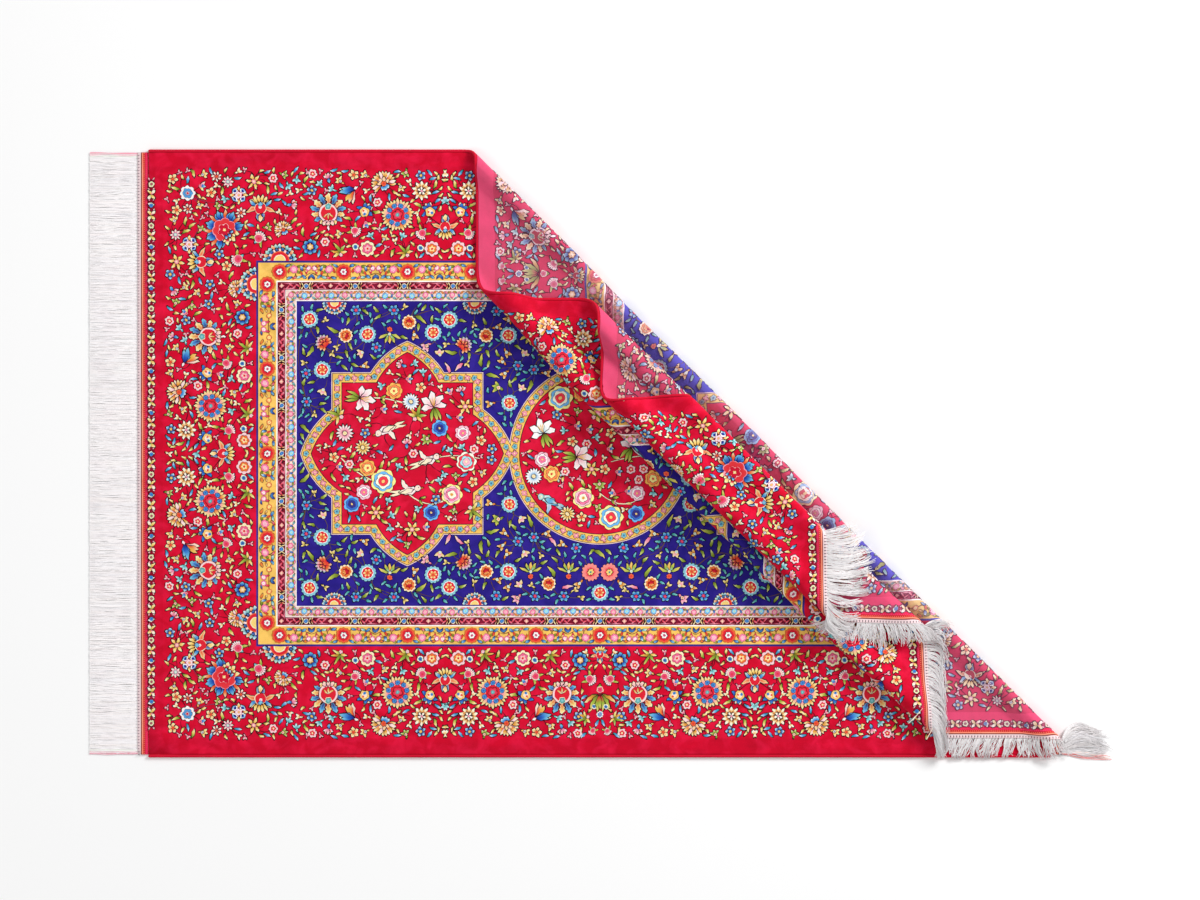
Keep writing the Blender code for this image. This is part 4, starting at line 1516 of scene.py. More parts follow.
    def make_peony(self) -> Drawing:
        """A ragged half-open peony."""
        parts = []
        for number, turn in enumerate(range(-112, 113, 16)):
            tone = ((SCARLET, ORANGE, YELLOW, CREAM), (PINK, BLUSH, CREAM),
                    (ORANGE, GOLD, CREAM))[number % 3]
            parts.append(petal(15, 5.4, tone, 6, turn, belly=0.6, level=2 + number % 2, steps=4))
        for turn in (-75, -25, 25, 75):
            parts.append(petal(9.5, 5, (PINK, YELLOW), 2, turn, level=4, edge=CREAM))
        for turn in (-150, 150, 180):
            parts.append(petal(10, 6.5, (AZURE, SKY, WHITE), 2, turn, level=5))
        parts.append(disc(4.6, (SCARLET, ORANGE), 5, 0.2, level=6, outline=WINE))
        return Drawing.joined(parts)

    def make_fan(self) -> Drawing:
        """A long blue wing leaf with a warm fan beside it."""
        parts = [petal(24, 6.5, tone, 2, turn, bend=3, belly=0.62, level=2 + number % 2, steps=5)
                 for number, (turn, tone) in enumerate((
                     (-30, (ORANGE, YELLOW, CREAM)), (34, (SCARLET, ORANGE, CREAM)),
                     (48, (PINK, CREAM)), (20, (ORANGE, GOLD, YELLOW)))) ]
        for swing, size in ((-13, 0.8), (10, 0.78), (0, 1.0)):
            parts.append(petal(27 * size, 7.5, (NAVY, AZURE, SKY, AQUA), 0, -6 + swing,
                               level=5 + (swing == 0), bend=-3, steps=5))
        parts.append(petal(7, 4, (WHITE, BLUSH), -6, 0, level=6))
        return Drawing.joined(parts)

    def make_bud(self) -> Drawing:
        """A globe flower held in dark blue sepals."""
        parts = [petal(9, 4.5, (PINK, CREAM), 7, turn, level=2) for turn in (150, 178, 206)]
        parts += [petal(12, 6.5, (NAVY, AZURE, SKY), 2.5, turn, bend=b, level=3)
                  for turn, b in ((110, -4), (-110, 4), (160, 0), (-160, 0))]
        parts.append(disc(8.2, (ORANGE, YELLOW), 5, 0.16, level=5, outline=WINE))
        parts.append(disc(4.8, (BLUSH, CREAM), level=6, sides=8))
        parts.append(disc(2.6, (AZURE, SKY), level=7, sides=6, x=3, y=2))
        parts.append(disc(2.0, (SCARLET, ORANGE), level=7, sides=6, x=-1, y=-2.5))
        return Drawing.joined(parts)

    def make_crescent(self) -> Drawing:
        """A side-on carnation: a toothed crescent on green leaves."""
        parts = [petal(6.5, 3.2, (ROSE, BLUSH, WHITE), 6, turn, level=3)
                 for turn in range(-60, 61, 20)]
        parts.append(disc(6.6, (SCARLET, ROSE), level=5, sides=10, outline=CREAM))
        parts += [petal(15, 4.4, (OLIVE, LEAF, YELLOW), 1, turn, bend=b, level=3)
                  for turn, b in ((112, 4), (-112, -4))]
        parts.append(petal(9, 4.4, (TEAL, AQUA), 2, 180, level=4))
        return Drawing.joined(parts)

    def make_wheel(self) -> Drawing:
        """A round cream rosette of many forked petals."""
        parts = ring_of(10, petal(10.5, 4.6, (GOLD, CREAM, WHITE), 6, level=3, steps=4))
        parts += ring_of(10, petal(6.5, 2.2, (ORANGE, YELLOW), 6, level=5, outline=None), 18)
        parts += ring_of(5, petal(6, 3.6, (WHITE, CREAM), 1.5, level=5, border=0.4))
        parts.append(disc(2.0, (ROSE, PINK), level=6, sides=6))
        parts.append(disc(8.0, (WINE, WINE), level=1, sides=14))
        return Drawing.joined(parts)

    def make_star(self, count: int, light: Colour, deep: Colour, eye: Colour,
                  reach: float) -> Drawing:
        """A star flower of pointed petals."""
        parts = ring_of(count, petal(reach * 0.8, reach * 0.36, (deep, light, CREAM),
                                     reach * 0.2, level=3, steps=4, belly=0.45))
        parts.append(disc(reach * 0.3, (CREAM, eye), level=5, sides=8, outline=WINE, border=0.3))
        return Drawing.joined(parts)

    def make_rosette(self, radius: float, count: int, rim: tuple[Colour, Colour],
                     middle: Colour, eye: Colour) -> Drawing:
        """A full rosette with two rows of petals."""
        parts = [disc(radius, rim, count, 0.2, level=3, outline=WINE, border=0.7),
                 disc(radius * 0.66, (middle, middle), count - 2, 0.22, level=4, outline=WINE,
                      border=0.4),
                 disc(radius * 0.42, (CREAM, eye), 5, 0.35, level=6),
                 disc(radius * 0.16, (SCARLET, SCARLET), level=7, sides=6)]
        return Drawing.joined(parts)

    def make_petal_rosette(self) -> Drawing:
        """Eight blue petals round a yellow heart."""
        parts = ring_of(8, petal(8.5, 7.2, (NAVY, AZURE, SKY, AQUA), 4.5, level=3, belly=0.62,
                                 steps=4, blunt=0.6))
        parts.append(disc(5.6, (CREAM, GOLD), 6, 0.25, level=5, outline=WINE))
        return Drawing.joined(parts)

    def make_cross_flower(self) -> Drawing:
        """Four white and navy petals with yellow ones between."""
        parts = ring_of(4, petal(9.5, 10.5, (WHITE, WHITE, SKY), 4.0, level=3, belly=0.6,
                                 steps=4, blunt=0.55), 45)
        parts += ring_of(4, petal(5, 6.5, (NAVY, AZURE), 6.5, level=4, belly=0.55, steps=3,
                                  outline=None, blunt=0.6), 45)
        parts += ring_of(4, petal(9, 4.4, (ORANGE, YELLOW, CREAM), 6.5, level=3))
        parts.append(disc(5.6, (ROSE, WHITE), 5, 0.3, level=6, outline=ROSE))
        parts.append(disc(1.8, (YELLOW, GOLD), level=7, sides=6))
        return Drawing.joined(parts)

    def make_sprig(self) -> Drawing:
        """A branching acanthus leaf in green and yellow."""
        parts = [petal(length, 5.0, tone, 1, turn, bend=b, level=3, steps=5, belly=0.4)
                 for length, turn, b, tone in (
                     (22, 0, 5, (OLIVE, LEAF, YELLOW)), (17, 42, 5, (OLIVE, GOLD, YELLOW)),
                     (14, 82, 4, (LEAF, YELLOW, CREAM)), (17, -36, -4, (OLIVE, LEAF, CREAM)),
                     (12, -80, -3, (GOLD, YELLOW, CREAM)))]
        parts.append(disc(3.4, (PINK, BLUSH), 5, 0.25, level=5, outline=WINE, x=-3))
        return Drawing.joined(parts)

    def make_half_rosette(self) -> Drawing:
        """Half a large rosette that sits against the frame's line, open towards X."""
        parts = []
        for number, turn in enumerate(range(-84, 85, 14)):
            tone = ((AZURE, AQUA, WHITE), (ORANGE, CREAM), (TEAL, AQUA, CREAM))[number % 3]
            parts.append(petal(8.5, 6, tone, 20, turn, level=2, steps=3, blunt=0.6))
        for turn in range(-75, 76, 30):
            parts.append(petal(6, 5, (NAVY, SKY), 15.5, turn, level=4, steps=3))
        for radius, colour, level in ((20.5, WINE, 1), (20, BLUSH, 3), (16, ORANGE, 4),
                                      (14.5, SCARLET, 5), (10, CREAM, 6), (8.5, YELLOW, 7)):
            parts.append(half_disc(radius, colour, level))
        return Drawing.joined(parts)

    def make_field_rosette(self) -> Drawing:
        """The light blue scalloped rosette of the navy field."""
        parts = [disc(14.5, (SKY, AQUA), 14, 0.14, level=3, outline=INK, border=0.7),
                 disc(10.2, (WHITE, WHITE), level=4, sides=16),
                 disc(9.4, (SCARLET, SCARLET), 8, 0.1, level=5)]
        parts += ring_of(6, petal(5.6, 3.8, (ORANGE, YELLOW, CREAM), 1.6, level=6, steps=3,
                                  outline=None))
        parts.append(disc(2.2, (SCARLET, ORANGE), level=7, sides=6))
        return Drawing.joined(parts)

    def make_rose_rosette(self) -> Drawing:
        """The coral rosette that stands in a pair on the middle line."""
        return Drawing.joined([
            disc(15, ((240, 110, 110), (246, 150, 140)), 14, 0.16, level=3, outline=INK),
            disc(8.4, (SCARLET, (236, 84, 90)), 8, 0.2, level=4),
            disc(5.4, (YELLOW, YELLOW), 6, 0.3, level=5, outline=WINE),
            disc(2, (TEAL, TEAL), level=6, sides=6)])

    def make_orange_flower(self) -> Drawing:
        """A round orange flower with a dark red, pleated heart."""
        parts = [disc(12, (YELLOW, CREAM), 11, 0.16, level=3, outline=INK),
                 disc(9.6, (GOLD, ORANGE), 9, 0.16, level=4),
                 disc(6.4, (SCARLET, (150, 20, 30)), 6, 0.3, level=5)]
        parts += [petal(5, 2.6, (ORANGE, YELLOW), 0.5, turn, level=6, steps=3, outline=None)
                  for turn in (-50, 0, 50)]
        return Drawing.joined(parts)

    def make_pompon(self) -> Drawing:
        """A pointed many-petalled flower with pale tips."""
        parts = []
        for number, turn in enumerate(range(-135, 136, 27)):
            tone = (SCARLET, ORANGE, CREAM) if abs(turn) > 60 else (SCARLET, PINK, AQUA)
            parts.append(petal(10, 5, tone, 4, turn, level=2 + number % 2, outline=INK))
        parts += [petal(6.5, 3.4, (SCARLET, YELLOW), 1, turn, level=4, steps=3)
                  for turn in (-60, 0, 60)]
        parts.append(disc(8.5, (ORANGE, SCARLET), 9, 0.2, level=1, outline=INK))
        return Drawing.joined(parts)

    def make_lily_spray(self) -> Drawing:
        """Spread green and yellow leaves with a red ball in front."""
        parts = [petal(length, 4.8, tone, 2, turn, bend=b, level=3, outline=INK)
                 for length, turn, b, tone in (
                     (14, 180, 0, (GOLD, YELLOW)), (14, 140, 3, (AQUA, LEAF, YELLOW)),
                     (14, 220, -3, (AQUA, LEAF, YELLOW)), (17, 98, 5, (LEAF, YELLOW)),
                     (17, -98, -5, (LEAF, YELLOW)))]
        parts.append(disc(4.4, (SCARLET, (240, 110, 70)), 6, 0.2, level=5, outline=INK, x=8))
        parts.append(disc(2.6, (AQUA, CREAM), level=5, sides=6))
        return Drawing.joined(parts)

    def make_small(self) -> list[tuple[Drawing, float]]:
        """The border's filling: small flowers, buds and forked leaves, each with its reach."""
        five = ring_of(5, petal(7.2, 5.8, (ORANGE, YELLOW, CREAM), 1.8, level=2, steps=3,
                                edge=CREAM, blunt=0.6))
        blue = ring_of(5, petal(6.8, 5.6, (NAVY, SKY, WHITE), 1.8, level=2, steps=3,
                                blunt=0.6))
        pale = ring_of(7, petal(6.6, 3.4, (ROSE, CREAM, WHITE), 2.2, level=2, steps=3))
        tulip = [petal(11.5, 5.2, tone, -2, turn, bend=b, level=3) for turn, b, tone in (
            (-32, -3, (ROSE, PINK, CREAM)), (32, 3, (ORANGE, YELLOW, CREAM)),
            (0, 0, (NAVY, AZURE, SKY, WHITE)))]
        carnation = [petal(9, 4.6, tone, 0, turn, level=2 + (turn == 0)) for turn, tone in (
            (-62, (ROSE, PINK, WHITE)), (-31, (SCARLET, ORANGE, CREAM)), (0, (ROSE, PINK, WHITE)),
            (31, (SCARLET, ORANGE, CREAM)), (62, (ROSE, PINK, WHITE)))]
        carnation.append(petal(8.5, 4.6, (AZURE, SKY, AQUA), 0, 180, level=3))
        return [
            (Drawing.joined(five + [disc(2.8, (SCARLET, ORANGE), 5, 0.2, level=4)]), 9.4),
            (Drawing.joined(tulip + [disc(2.8, (SCARLET, PINK), level=4, sides=6)]), 9.2),
            (Drawing.joined([disc(7.8, (PINK, BLUSH), 6, 0.24, level=2, outline=WINE),
                             disc(4.6, (SCARLET, SCARLET), 5, 0.3, level=4),
                             disc(1.8, (YELLOW, CREAM), level=5, sides=6)]), 8.4),
            (Drawing.joined(blue + [disc(2.6, (YELLOW, GOLD), level=4, sides=6)]), 8.8),
            (Drawing.joined(carnation), 9.0),
            (self.fork(14.5, (OLIVE, LEAF, CREAM), 5, ROSE), 10.0),
            (Drawing.joined(pale + [disc(2.4, (SCARLET, ORANGE), level=4, sides=6)]), 8.8),
            (self.fork(13, (ORANGE, YELLOW, CREAM), 3, AZURE), 8.8),
            (self.fork(12.5, (OLIVE, LEAF, CREAM), 3, SCARLET), 8.2),
            (self.fork(12, (TEAL, AQUA, WHITE), 3), 7.4),
            (self.fork(11, (GOLD, CREAM, WHITE), 2), 6.6),
            (petal(15, 5.0, (OLIVE, LEAF, YELLOW, CREAM), -7.5, bend=5, level=2, steps=5), 6.2),
            (petal(12.5, 4.4, (TEAL, SKY, WHITE), -6, bend=-4, level=2, steps=4), 5.2),
            (self.fork(8.5, (ROSE, PINK, CREAM), 2), 5.0),
            (petal(10, 4.0, (OLIVE, YELLOW, CREAM), -5, bend=3, level=2), 4.2),
        ]

    def fork(self, length: float, tones: tuple[Colour, ...], prongs: int,
             knob: Colour | None = None, line: Colour = WINE) -> Drawing:
        """A forked leaf, its prongs ahead and its foot behind, with a knob where they meet."""
        spread = {2: (-24, 30), 3: (-46, 2, 44), 5: (-82, -38, 0, 40, 80)}[prongs]
        parts = [petal(length * (0.74 if turn else 0.9), length * 0.34, tones, -0.5, turn,
                       bend=turn * 0.03, level=2, steps=5, belly=0.46, outline=line)
                 for turn in spread]
        parts.append(petal(length * 0.55, length * 0.24, tones[::-1], 0, 176, bend=1.5, level=2,
                           outline=line))
        if knob:
            parts.append(disc(length * 0.2, (knob, CREAM), 4, 0.2, level=4, outline=line))
        return Drawing.joined(parts)

    def make_field_small(self) -> list[tuple[Drawing, float]]:
        """The navy field's filling: bells, small flowers and curled leaves."""
        def leaf(length, width, tone, bend):
            return petal(length, width, tone, -length / 2, bend=bend, level=2, outline=INK,
                         steps=5, belly=0.42)
        small = ring_of(5, petal(6.6, 5.8, (SCARLET, ORANGE, CREAM), 1.6, level=2, steps=3,
                                 outline=INK, blunt=0.6))
        bell = [petal(12, 5.4, tone, -2, turn, bend=b, level=3, outline=INK)
                for turn, b, tone in ((-32, -3, (GOLD, CREAM)), (32, 3, (GOLD, CREAM)),
                                      (0, 0, (SCARLET, PINK, CREAM)))]
        blue = ring_of(6, petal(6.6, 5.2, (AZURE, SKY, AQUA), 2.4, level=2, steps=3,
                                outline=INK, blunt=0.6))
        return [
            (Drawing.joined(blue + [disc(3, (ROSE, SCARLET), 5, 0.3, level=4)]), 10.0),
            (Drawing.joined(small + [disc(2.6, (CREAM, YELLOW), level=4, sides=6)]), 8.8),
            (Drawing.joined(bell + [disc(2.8, (AQUA, CREAM), level=4, sides=6)]), 9.2),
            (self.fork(16.5, (OLIVE, LEAF, YELLOW), 3, ORANGE, INK), 10.6),
            (self.fork(15, (ROSE, PINK, BLUSH), 3, SCARLET, INK), 9.6),
            (leaf(21, 6.4, (OLIVE, LEAF, YELLOW), 9), 8.6),
            (self.fork(14, (ORANGE, GOLD, CREAM), 2, AQUA, INK), 8.2),
            (leaf(18, 5.6, (ROSE, PINK, CREAM), -7), 7.2),
            (self.fork(11, (OLIVE, YELLOW, CREAM), 2, None, INK), 6.6),
            (leaf(13, 4.8, (OLIVE, LEAF, CREAM), 5), 5.4),
            (leaf(10, 4.0, (TEAL, AQUA), 3), 4.4),
        ]


def half_disc(radius: float, colour: Colour, level: int, sides: int = 14) -> Drawing:
    """Half a spot, its straight side on the Y axis."""
    angle = np.linspace(-math.pi / 2, math.pi / 2, sides + 1)
    rim = np.stack([np.cos(angle), np.sin(angle)], axis=1) * radius
    points = np.concatenate([[[0.0, 0.0]], rim]) / 1000
    faces = np.array([(0, i, i + 1) for i in range(1, sides + 1)])
    return Drawing(points, np.tile(np.array(colour, float), (len(points), 1)),
                   np.full(len(points), level), faces)


def rose(radius: float, tones: tuple[Colour, ...], eye: Colour = YELLOW) -> Drawing:
    """A layered round flower of several scalloped rows."""
    parts = []
    for number, tone in enumerate(tones):
        share = 1 - number * 0.8 / len(tones)
        light = tuple(min(255, c + 34) for c in tone)
        line = WINE if radius > 8 else (120, 70, 60) if number == 0 else None
        row = disc(radius * share, (tone, light), 7 - number, 0.16, level=3 + 2 * number,
                   outline=line, border=0.4)
        parts.append(row.moved(turn=24 * number))
    parts.append(disc(radius * 0.14, (eye, eye), level=4 + 2 * len(tones), sides=6))
    return Drawing.joined(parts)


def aster(radius: float, deep: Colour, light: Colour, count: int = 14) -> Drawing:
    """A many-rayed daisy."""
    rays = ring_of(count, petal(radius * 0.82, radius * 0.26, (deep, light, WHITE),
                                radius * 0.18, level=3, steps=3))
    return Drawing.joined(rays + [disc(radius * 0.24, (YELLOW, CREAM), level=5, sides=8,
                                       outline=WINE)])


def lily(radius: float, deep: Colour, light: Colour) -> Drawing:
    """A wide open lily seen from the side, its throat at the origin."""
    parts = [petal(radius * size, radius * 0.5, (deep, light, WHITE), 0, turn, bend=b, level=lv,
                   edge=WHITE, steps=5, belly=0.62, blunt=0.6)
             for turn, size, b, lv in ((-78, 0.95, -5, 2), (78, 0.95, 5, 2), (-40, 1.15, -3, 3),
                                       (40, 1.15, 3, 3), (0, 1.25, 0, 5))]
    parts += [petal(radius * 0.8, 1.5, (GOLD, YELLOW), 0, turn, level=7, outline=None)
              for turn in (-16, 0, 16)]
    parts += [petal(radius * 1.1, 5, (OLIVE, LEAF, YELLOW), 2, turn, bend=b, level=2)
              for turn, b in ((150, 5), (-150, -5), (180, 2))]
    return Drawing.joined(parts)


def bird(body: Colour, wing: Colour) -> Drawing:
    """A small perching bird that faces along X."""
    parts = [petal(25, 4.2, (wing, CREAM), -33, turn, level=2) for turn in (-6, 6)]
    parts.append(petal(31, 13, (wing, body, WHITE), -16, level=4, belly=0.6, steps=6, blunt=0.6))
    parts.append(petal(22, 7.5, (CREAM, wing, body), -14, 8, level=6, belly=0.6, steps=5))
    parts.append(petal(24, 7, (BLUSH, wing), -2, 122, bend=-4, level=3, edge=WHITE, steps=5))
    parts.append(disc(5, (CREAM, body), level=7, sides=12, outline=WINE, x=15.5, y=1.5))
    parts.append(petal(4.5, 2, (GOLD, GOLD), 20, 3, level=6))
    parts.append(disc(0.9, (INK, INK), level=8, sides=6, x=17, y=2.5))
    return Drawing.joined(parts)


def twig(spots: list[tuple[float, float]]) -> Drawing:
    """A pale branch with leaves along it."""
    parts = [stroke(spots, 2.6, WINE, 0), stroke(spots, 1.5, CREAM, 1)]
    for number, ((x0, y0), (x1, y1)) in enumerate(zip(spots, spots[1:])):
        way = math.degrees(math.atan2(y1 - y0, x1 - x0))
        for side in (-1, 1):
            tone = ((TEAL, AQUA, CREAM), (OLIVE, LEAF, YELLOW))[(number + side) % 2]
            leaf = petal(10, 3.8, tone, 1.2, way + side * 48, bend=-side * 2, level=2)
            parts.append(leaf.moved(x=(x0 + x1) / 2000, y=(y0 + y1) / 2000))
    return Drawing.joined(parts)


Spot = tuple[str, float, float, float, float]
# One half of the border's repeat: motif, distance from its axis, distance from the frame's
# line, its turn from straight outwards and its size
BORDER_HALF: tuple[Spot, ...] = (
    ("fleur", 0, 56, 0, 1.0), ("pink_rosette", 22, 20, 0, 1.0), ("eye", 41, 21, 0, 1.0),
    ("bud", 25, 81, -150, 1.0), ("crescent", 38, 46, 140, 0.9), ("wheel", 39, 116, 0, 1.0),
    ("ragged_palmette", 79, 76, 0, 1.0), ("peony", 102, 128, 20, 1.0),
    ("sprig", 64, 11, 30, 0.9), ("bud", 134, 81, 150, 1.0), ("yellow_rosette", 129, 20, 0, 1.0),
    ("eye", 149, 23, 0, 1.0), ("crescent", 150, 50, -130, 0.85), ("sprig", 174, 12, 20, 0.9),
    ("fan", 150, 120, 118, 1.0), ("ray_palmette", 194, 79, 0, 1.0),
)
CORNER: tuple[Spot, ...] = (
    ("corner_palmette", 53, 51, 45, 1.0), ("cross_flower", 111, 27, 0, 1.0),
    ("cross_flower", 29, 109, 0, 1.0), ("star_rosette", 114, 112, 0, 1.0),
    ("fleur", 92, -2, 180, 1.08), ("fleur", -7, 87, -90, 1.08),
    ("star_yellow", 132, -2, 10, 1.0), ("star_yellow", 4, 131, 10, 1.0),
    ("star_white", 134, 43, 0, 1.0), ("star_white", 47, 131, 0, 1.0),
    ("crescent", 30, 3, -40, 1.0), ("crescent", -4, 37, 130, 1.0),
    ("peony", 32, -47, 30, 0.72), ("peony", -45, 51, 60, 0.72),
    ("half_rosette", 0, -39, 0, 1.0), ("half_rosette", -39, 0, 90, 1.0),
)
FIELD: tuple[Spot, ...] = (
    ("field_rosette", 482, 223, 0, 1.0), ("field_rosette", 461, 139, 0, 1.0),
    ("field_rosette", 386, 198, 0, 1.0), ("field_rosette", 277, 201, 0, 1.0),
    ("field_rosette", 250, 222, 0, 1.0), ("field_rosette", 152, 196, 0, 1.0),
    ("field_rosette", 150, 84, 0, 0.98), ("field_rosette", 0, 231, 0, 1.0),
    ("rose_rosette", 15.5, 197, 0, 1.0), ("orange_flower", 422, 196, 20, 1.0),
    ("orange_flower", 317, 218, -80, 1.0), ("orange_flower", 189, 196, 110, 1.0),
    ("orange_flower", 85, 216, 80, 1.0), ("pompon", 459, 184, 40, 1.0),
    ("pompon", 226, 180, 140, 1.0), ("lily_spray", 349, 198, 90, 1.0),
    ("lily_spray", 115, 196, 90, 1.0), ("lily_spray", 52, 196, 90, 1.0),
    ("field_blue", 405, 238, 0, 1.0), ("field_blue", 342, 238, 0, 1.0),
    ("field_blue", 487, 86, 0, 1.0), ("field_blue", 172, 236, 0, 1.0),
    ("field_blue", 110, 139, 0, 1.0), ("field_blue", 108, 237, 0, 1.0),
    ("field_blue", 60, 237, 0, 1.0), ("field_blue", 136, 146, 0, 1.0),
    ("half_rosette", 441, 251, -90, 0.72), ("half_rosette", 208, 251, -90, 0.72),
)
# The stems of the navy field, each through a few places of one quarter
FIELD_STEMS = (
    ((482, 223), (470, 190), (448, 165), (461, 139)), ((461, 139), (490, 120), (487, 86)),
    ((459, 184), (440, 168), (410, 172), (386, 198)), ((386, 198), (370, 225), (342, 238)),
    ((422, 196), (405, 215), (405, 238)), ((349, 198), (330, 176), (300, 180), (277, 201)),
    ((317, 218), (300, 232), (268, 238), (250, 222)), ((226, 180), (205, 165), (180, 172),
                                                       (152, 196)),
    ((189, 196), (180, 215), (172, 236)), ((152, 196), (140, 215), (108, 237)),
    ((152, 196), (150, 170), (136, 146)), ((136, 146), (152, 120), (150, 84)),
    ((115, 196), (100, 175), (110, 139)), ((52, 196), (70, 172), (92, 165), (110, 139)),
    ((85, 216), (72, 232), (60, 237)), ((15, 197), (22, 215), (0, 231)),
    ((482, 223), (500, 180), (498, 130), (487, 86)), ((250, 222), (235, 236), (208, 248)),
)


class Pattern:
    """Places the motifs on the flat rug, quarter by quarter, and lays them in its folds."""

    step = 0.00006

    def __init__(self, cloth: FoldedCloth) -> None:
        """Draws the motifs and measures what covers what."""
        self.cloth = cloth
        self.motifs = Motifs()
        self.motifs.field_blue = self.motifs.field_small[0][0]
        self.groups: dict[str, list[Drawing]] = {}
        self.taken: dict[str, list[tuple[float, float, float]]] = {}
        self.cover = Relief()
        grid = np.meshgrid(np.arange(-HALF_LENGTH, HALF_LENGTH, 0.002),
                           np.arange(-HALF_WIDTH, HALF_WIDTH, 0.002))
        self.cover.lay(cloth.place_flat(grid[0].ravel(), grid[1].ravel(), 0.0))

    def add(self, group: str, drawing: Drawing, matrix: np.ndarray, origin: np.ndarray,
            quarters: bool = True) -> None:
        """Adds a drawing through a plain map, and its mirror images in the other quarters."""
        points = drawing.points @ matrix.T + origin
        faces = drawing.faces[:, ::-1] if np.linalg.det(matrix) < 0 else drawing.faces
        placed = Drawing(points, drawing.colours, drawing.levels, faces)
        middle = points.mean(axis=0)
        sides_x = (1, -1) if quarters and abs(middle[0]) > 0.0015 else (1,)
        sides_y = (1, -1) if quarters and abs(middle[1]) > 0.0015 else (1,)
        for sx in sides_x:
            for sy in sides_y:
                self.groups.setdefault(group, []).append(placed.mirrored(sx, sy))

    def spot(self, group: str, name: str, x: float, y: float, turn: float, size: float,
             frame: tuple[np.ndarray, np.ndarray]) -> None:
        """Places a named motif, its place in millimetres of a frame."""
        drawing = getattr(self.motifs, name).moved(turn=turn, size=size)
        at = drawing.moved(x=x / 1000, y=y / 1000)
        self.add(group, at, *frame)

    def footprint(self, name: str, x: float, y: float, turn: float,
                  size: float) -> tuple[float, float, float]:
        """The circle that a placed motif covers: its middle and its reach, in millimetres."""
        points = getattr(self.motifs, name).moved(turn=turn, size=size).points * 1000
        middle = (points.min(axis=0) + points.max(axis=0)) / 2
        reach = np.percentile(np.hypot(*(points - middle).T), 92)
        return x + float(middle[0]), y + float(middle[1]), float(reach)

    def scatter(self, kinds: list[tuple[Drawing, float]], box: tuple[float, ...],
                taken: list[tuple[float, float, float]], allowed, seed: int,
                tries: int, gap: float,
                stem: Colour = WINE) -> list[tuple[Drawing, float, float]]:
        """Finds room for small motifs between what is already placed.

        Args:
            kinds: The small motifs with their reaches in millimetres.
            box: The area as x0, x1, y0 and y1 in millimetres.
            taken: Circles already in use, which the new ones join.
            allowed: Whether an array of places, with a reach, lies in the pattern's ground.
            seed: Seed of the random draws.
            tries: How many places are tried.
            gap: The least room between motifs.
            stem: Colour of the stems that join them to the nearest flower.

        Returns:
            Each new motif, turned, with its place.
        """
        random = np.random.default_rng(seed)
        found = []
        anchors = np.array([spot for spot in taken if spot[2] > 6] or taken)
        for number in range(tries):
            late = number / tries
            kind = int(random.integers(0, len(kinds)) * (1 - late) + (len(kinds) - 1) * late)
            kind = min(len(kinds) - 1, max(0, kind + int(random.integers(-2, 3))))
            drawing, reach = kinds[kind]
            x, y = random.uniform(box[0], box[1]), random.uniform(box[2], box[3])
            turn = random.uniform(0, 360)
            if not allowed(x, y, reach):
                continue
            spots = np.array(taken)
            room = np.hypot(spots[:, 0] - x, spots[:, 1] - y) - spots[:, 2] - reach
            if room.min() < gap:
                continue
            taken.append((x, y, reach))
            far = np.hypot(anchors[:, 0] - x, anchors[:, 1] - y)
            to = anchors[far.argmin()]
            if reach < far.min() < 34:
                side = random.uniform(-0.3, 0.3)
                middle = ((x + to[0]) / 2 + (to[1] - y) * side, (y + to[1]) / 2 - (to[0] - x) * side)
                found.append((stroke([(x, y), middle, (to[0], to[1])], 0.8, stem, steps=5), 0, 0))
                turn = math.degrees(math.atan2(y - to[1], x - to[0])) + random.uniform(-50, 50)
            found.append((drawing.moved(turn=turn), x, y))
        return found

    def border(self) -> None:
        """The flowers of the wide red border, and its corner and middle pieces."""
        frame_x, frame_y, axis = 0.5706, 0.3201, 0.257
        towards_end = (np.array([[0.0, 1.0], [1.0, 0.0]]), np.array([axis, frame_y]))
        towards_middle = (np.array([[0.0, -1.0], [1.0, 0.0]]), np.array([axis, frame_y]))
        at_end = (np.eye(2), np.array([frame_x, 0.0]))
        runs = (towards_end, towards_middle, at_end)
        taken = [self.footprint(name, h, o, turn, size) for name, o, h, turn, size in BORDER_HALF]
        taken += [(22, 224, 13), (50, 224, 2)]
        for name, o, h, turn, size in BORDER_HALF:
            for frame in runs[1 if o == 0 else 0:]:
                self.spot("border", name, h, o, turn, size, frame)
        self.spot("border", "blue_rosette", 23, 224, 0, 1, towards_end)
        self.spot("border", "blue_rosette", 23, 224, 0, 1, towards_middle)
        self.spot("border", "blue_rosette", 23, 226, 0, 1, at_end)
        filling = self.scatter(
            self.motifs.small, (3, 153, 0, 222), taken,
            lambda x, y, r: r + 2 < x < 155 - r and (r < y or abs(y) < 0.4), 5, 7000, -0.4)
        for drawing, x, y in filling:
            for frame in runs:
                self.add("border", drawing.moved(x=x / 1000, y=y / 1000), *frame)
        for stem in (((60, 8), (78, 30), (100, 38)), ((80, 105), (100, 118), (128, 102)),
                     ((40, 40), (30, 60), (10, 70)), ((116, 56), (112, 80), (118, 92))):
            for frame in runs:
                self.add("border", stroke(stem, 0.9, WINE), *frame)
        self.corner(frame_x, frame_y)
        self.middle(frame_y)

    def corner(self, frame_x: float, frame_y: float) -> None:
        """The corner's flowers, about the frame's own corner."""
        frame = (np.eye(2), np.array([frame_x, frame_y]))
        taken = [self.footprint(*spot) for spot in CORNER]
        for name, x, y, turn, size in CORNER:
            self.spot("border", name, x, y, turn, size, frame)
        taken += [(-88.6, 23, 14), (23, -94, 14), (-110, 79, 36), (79, -126, 36)]

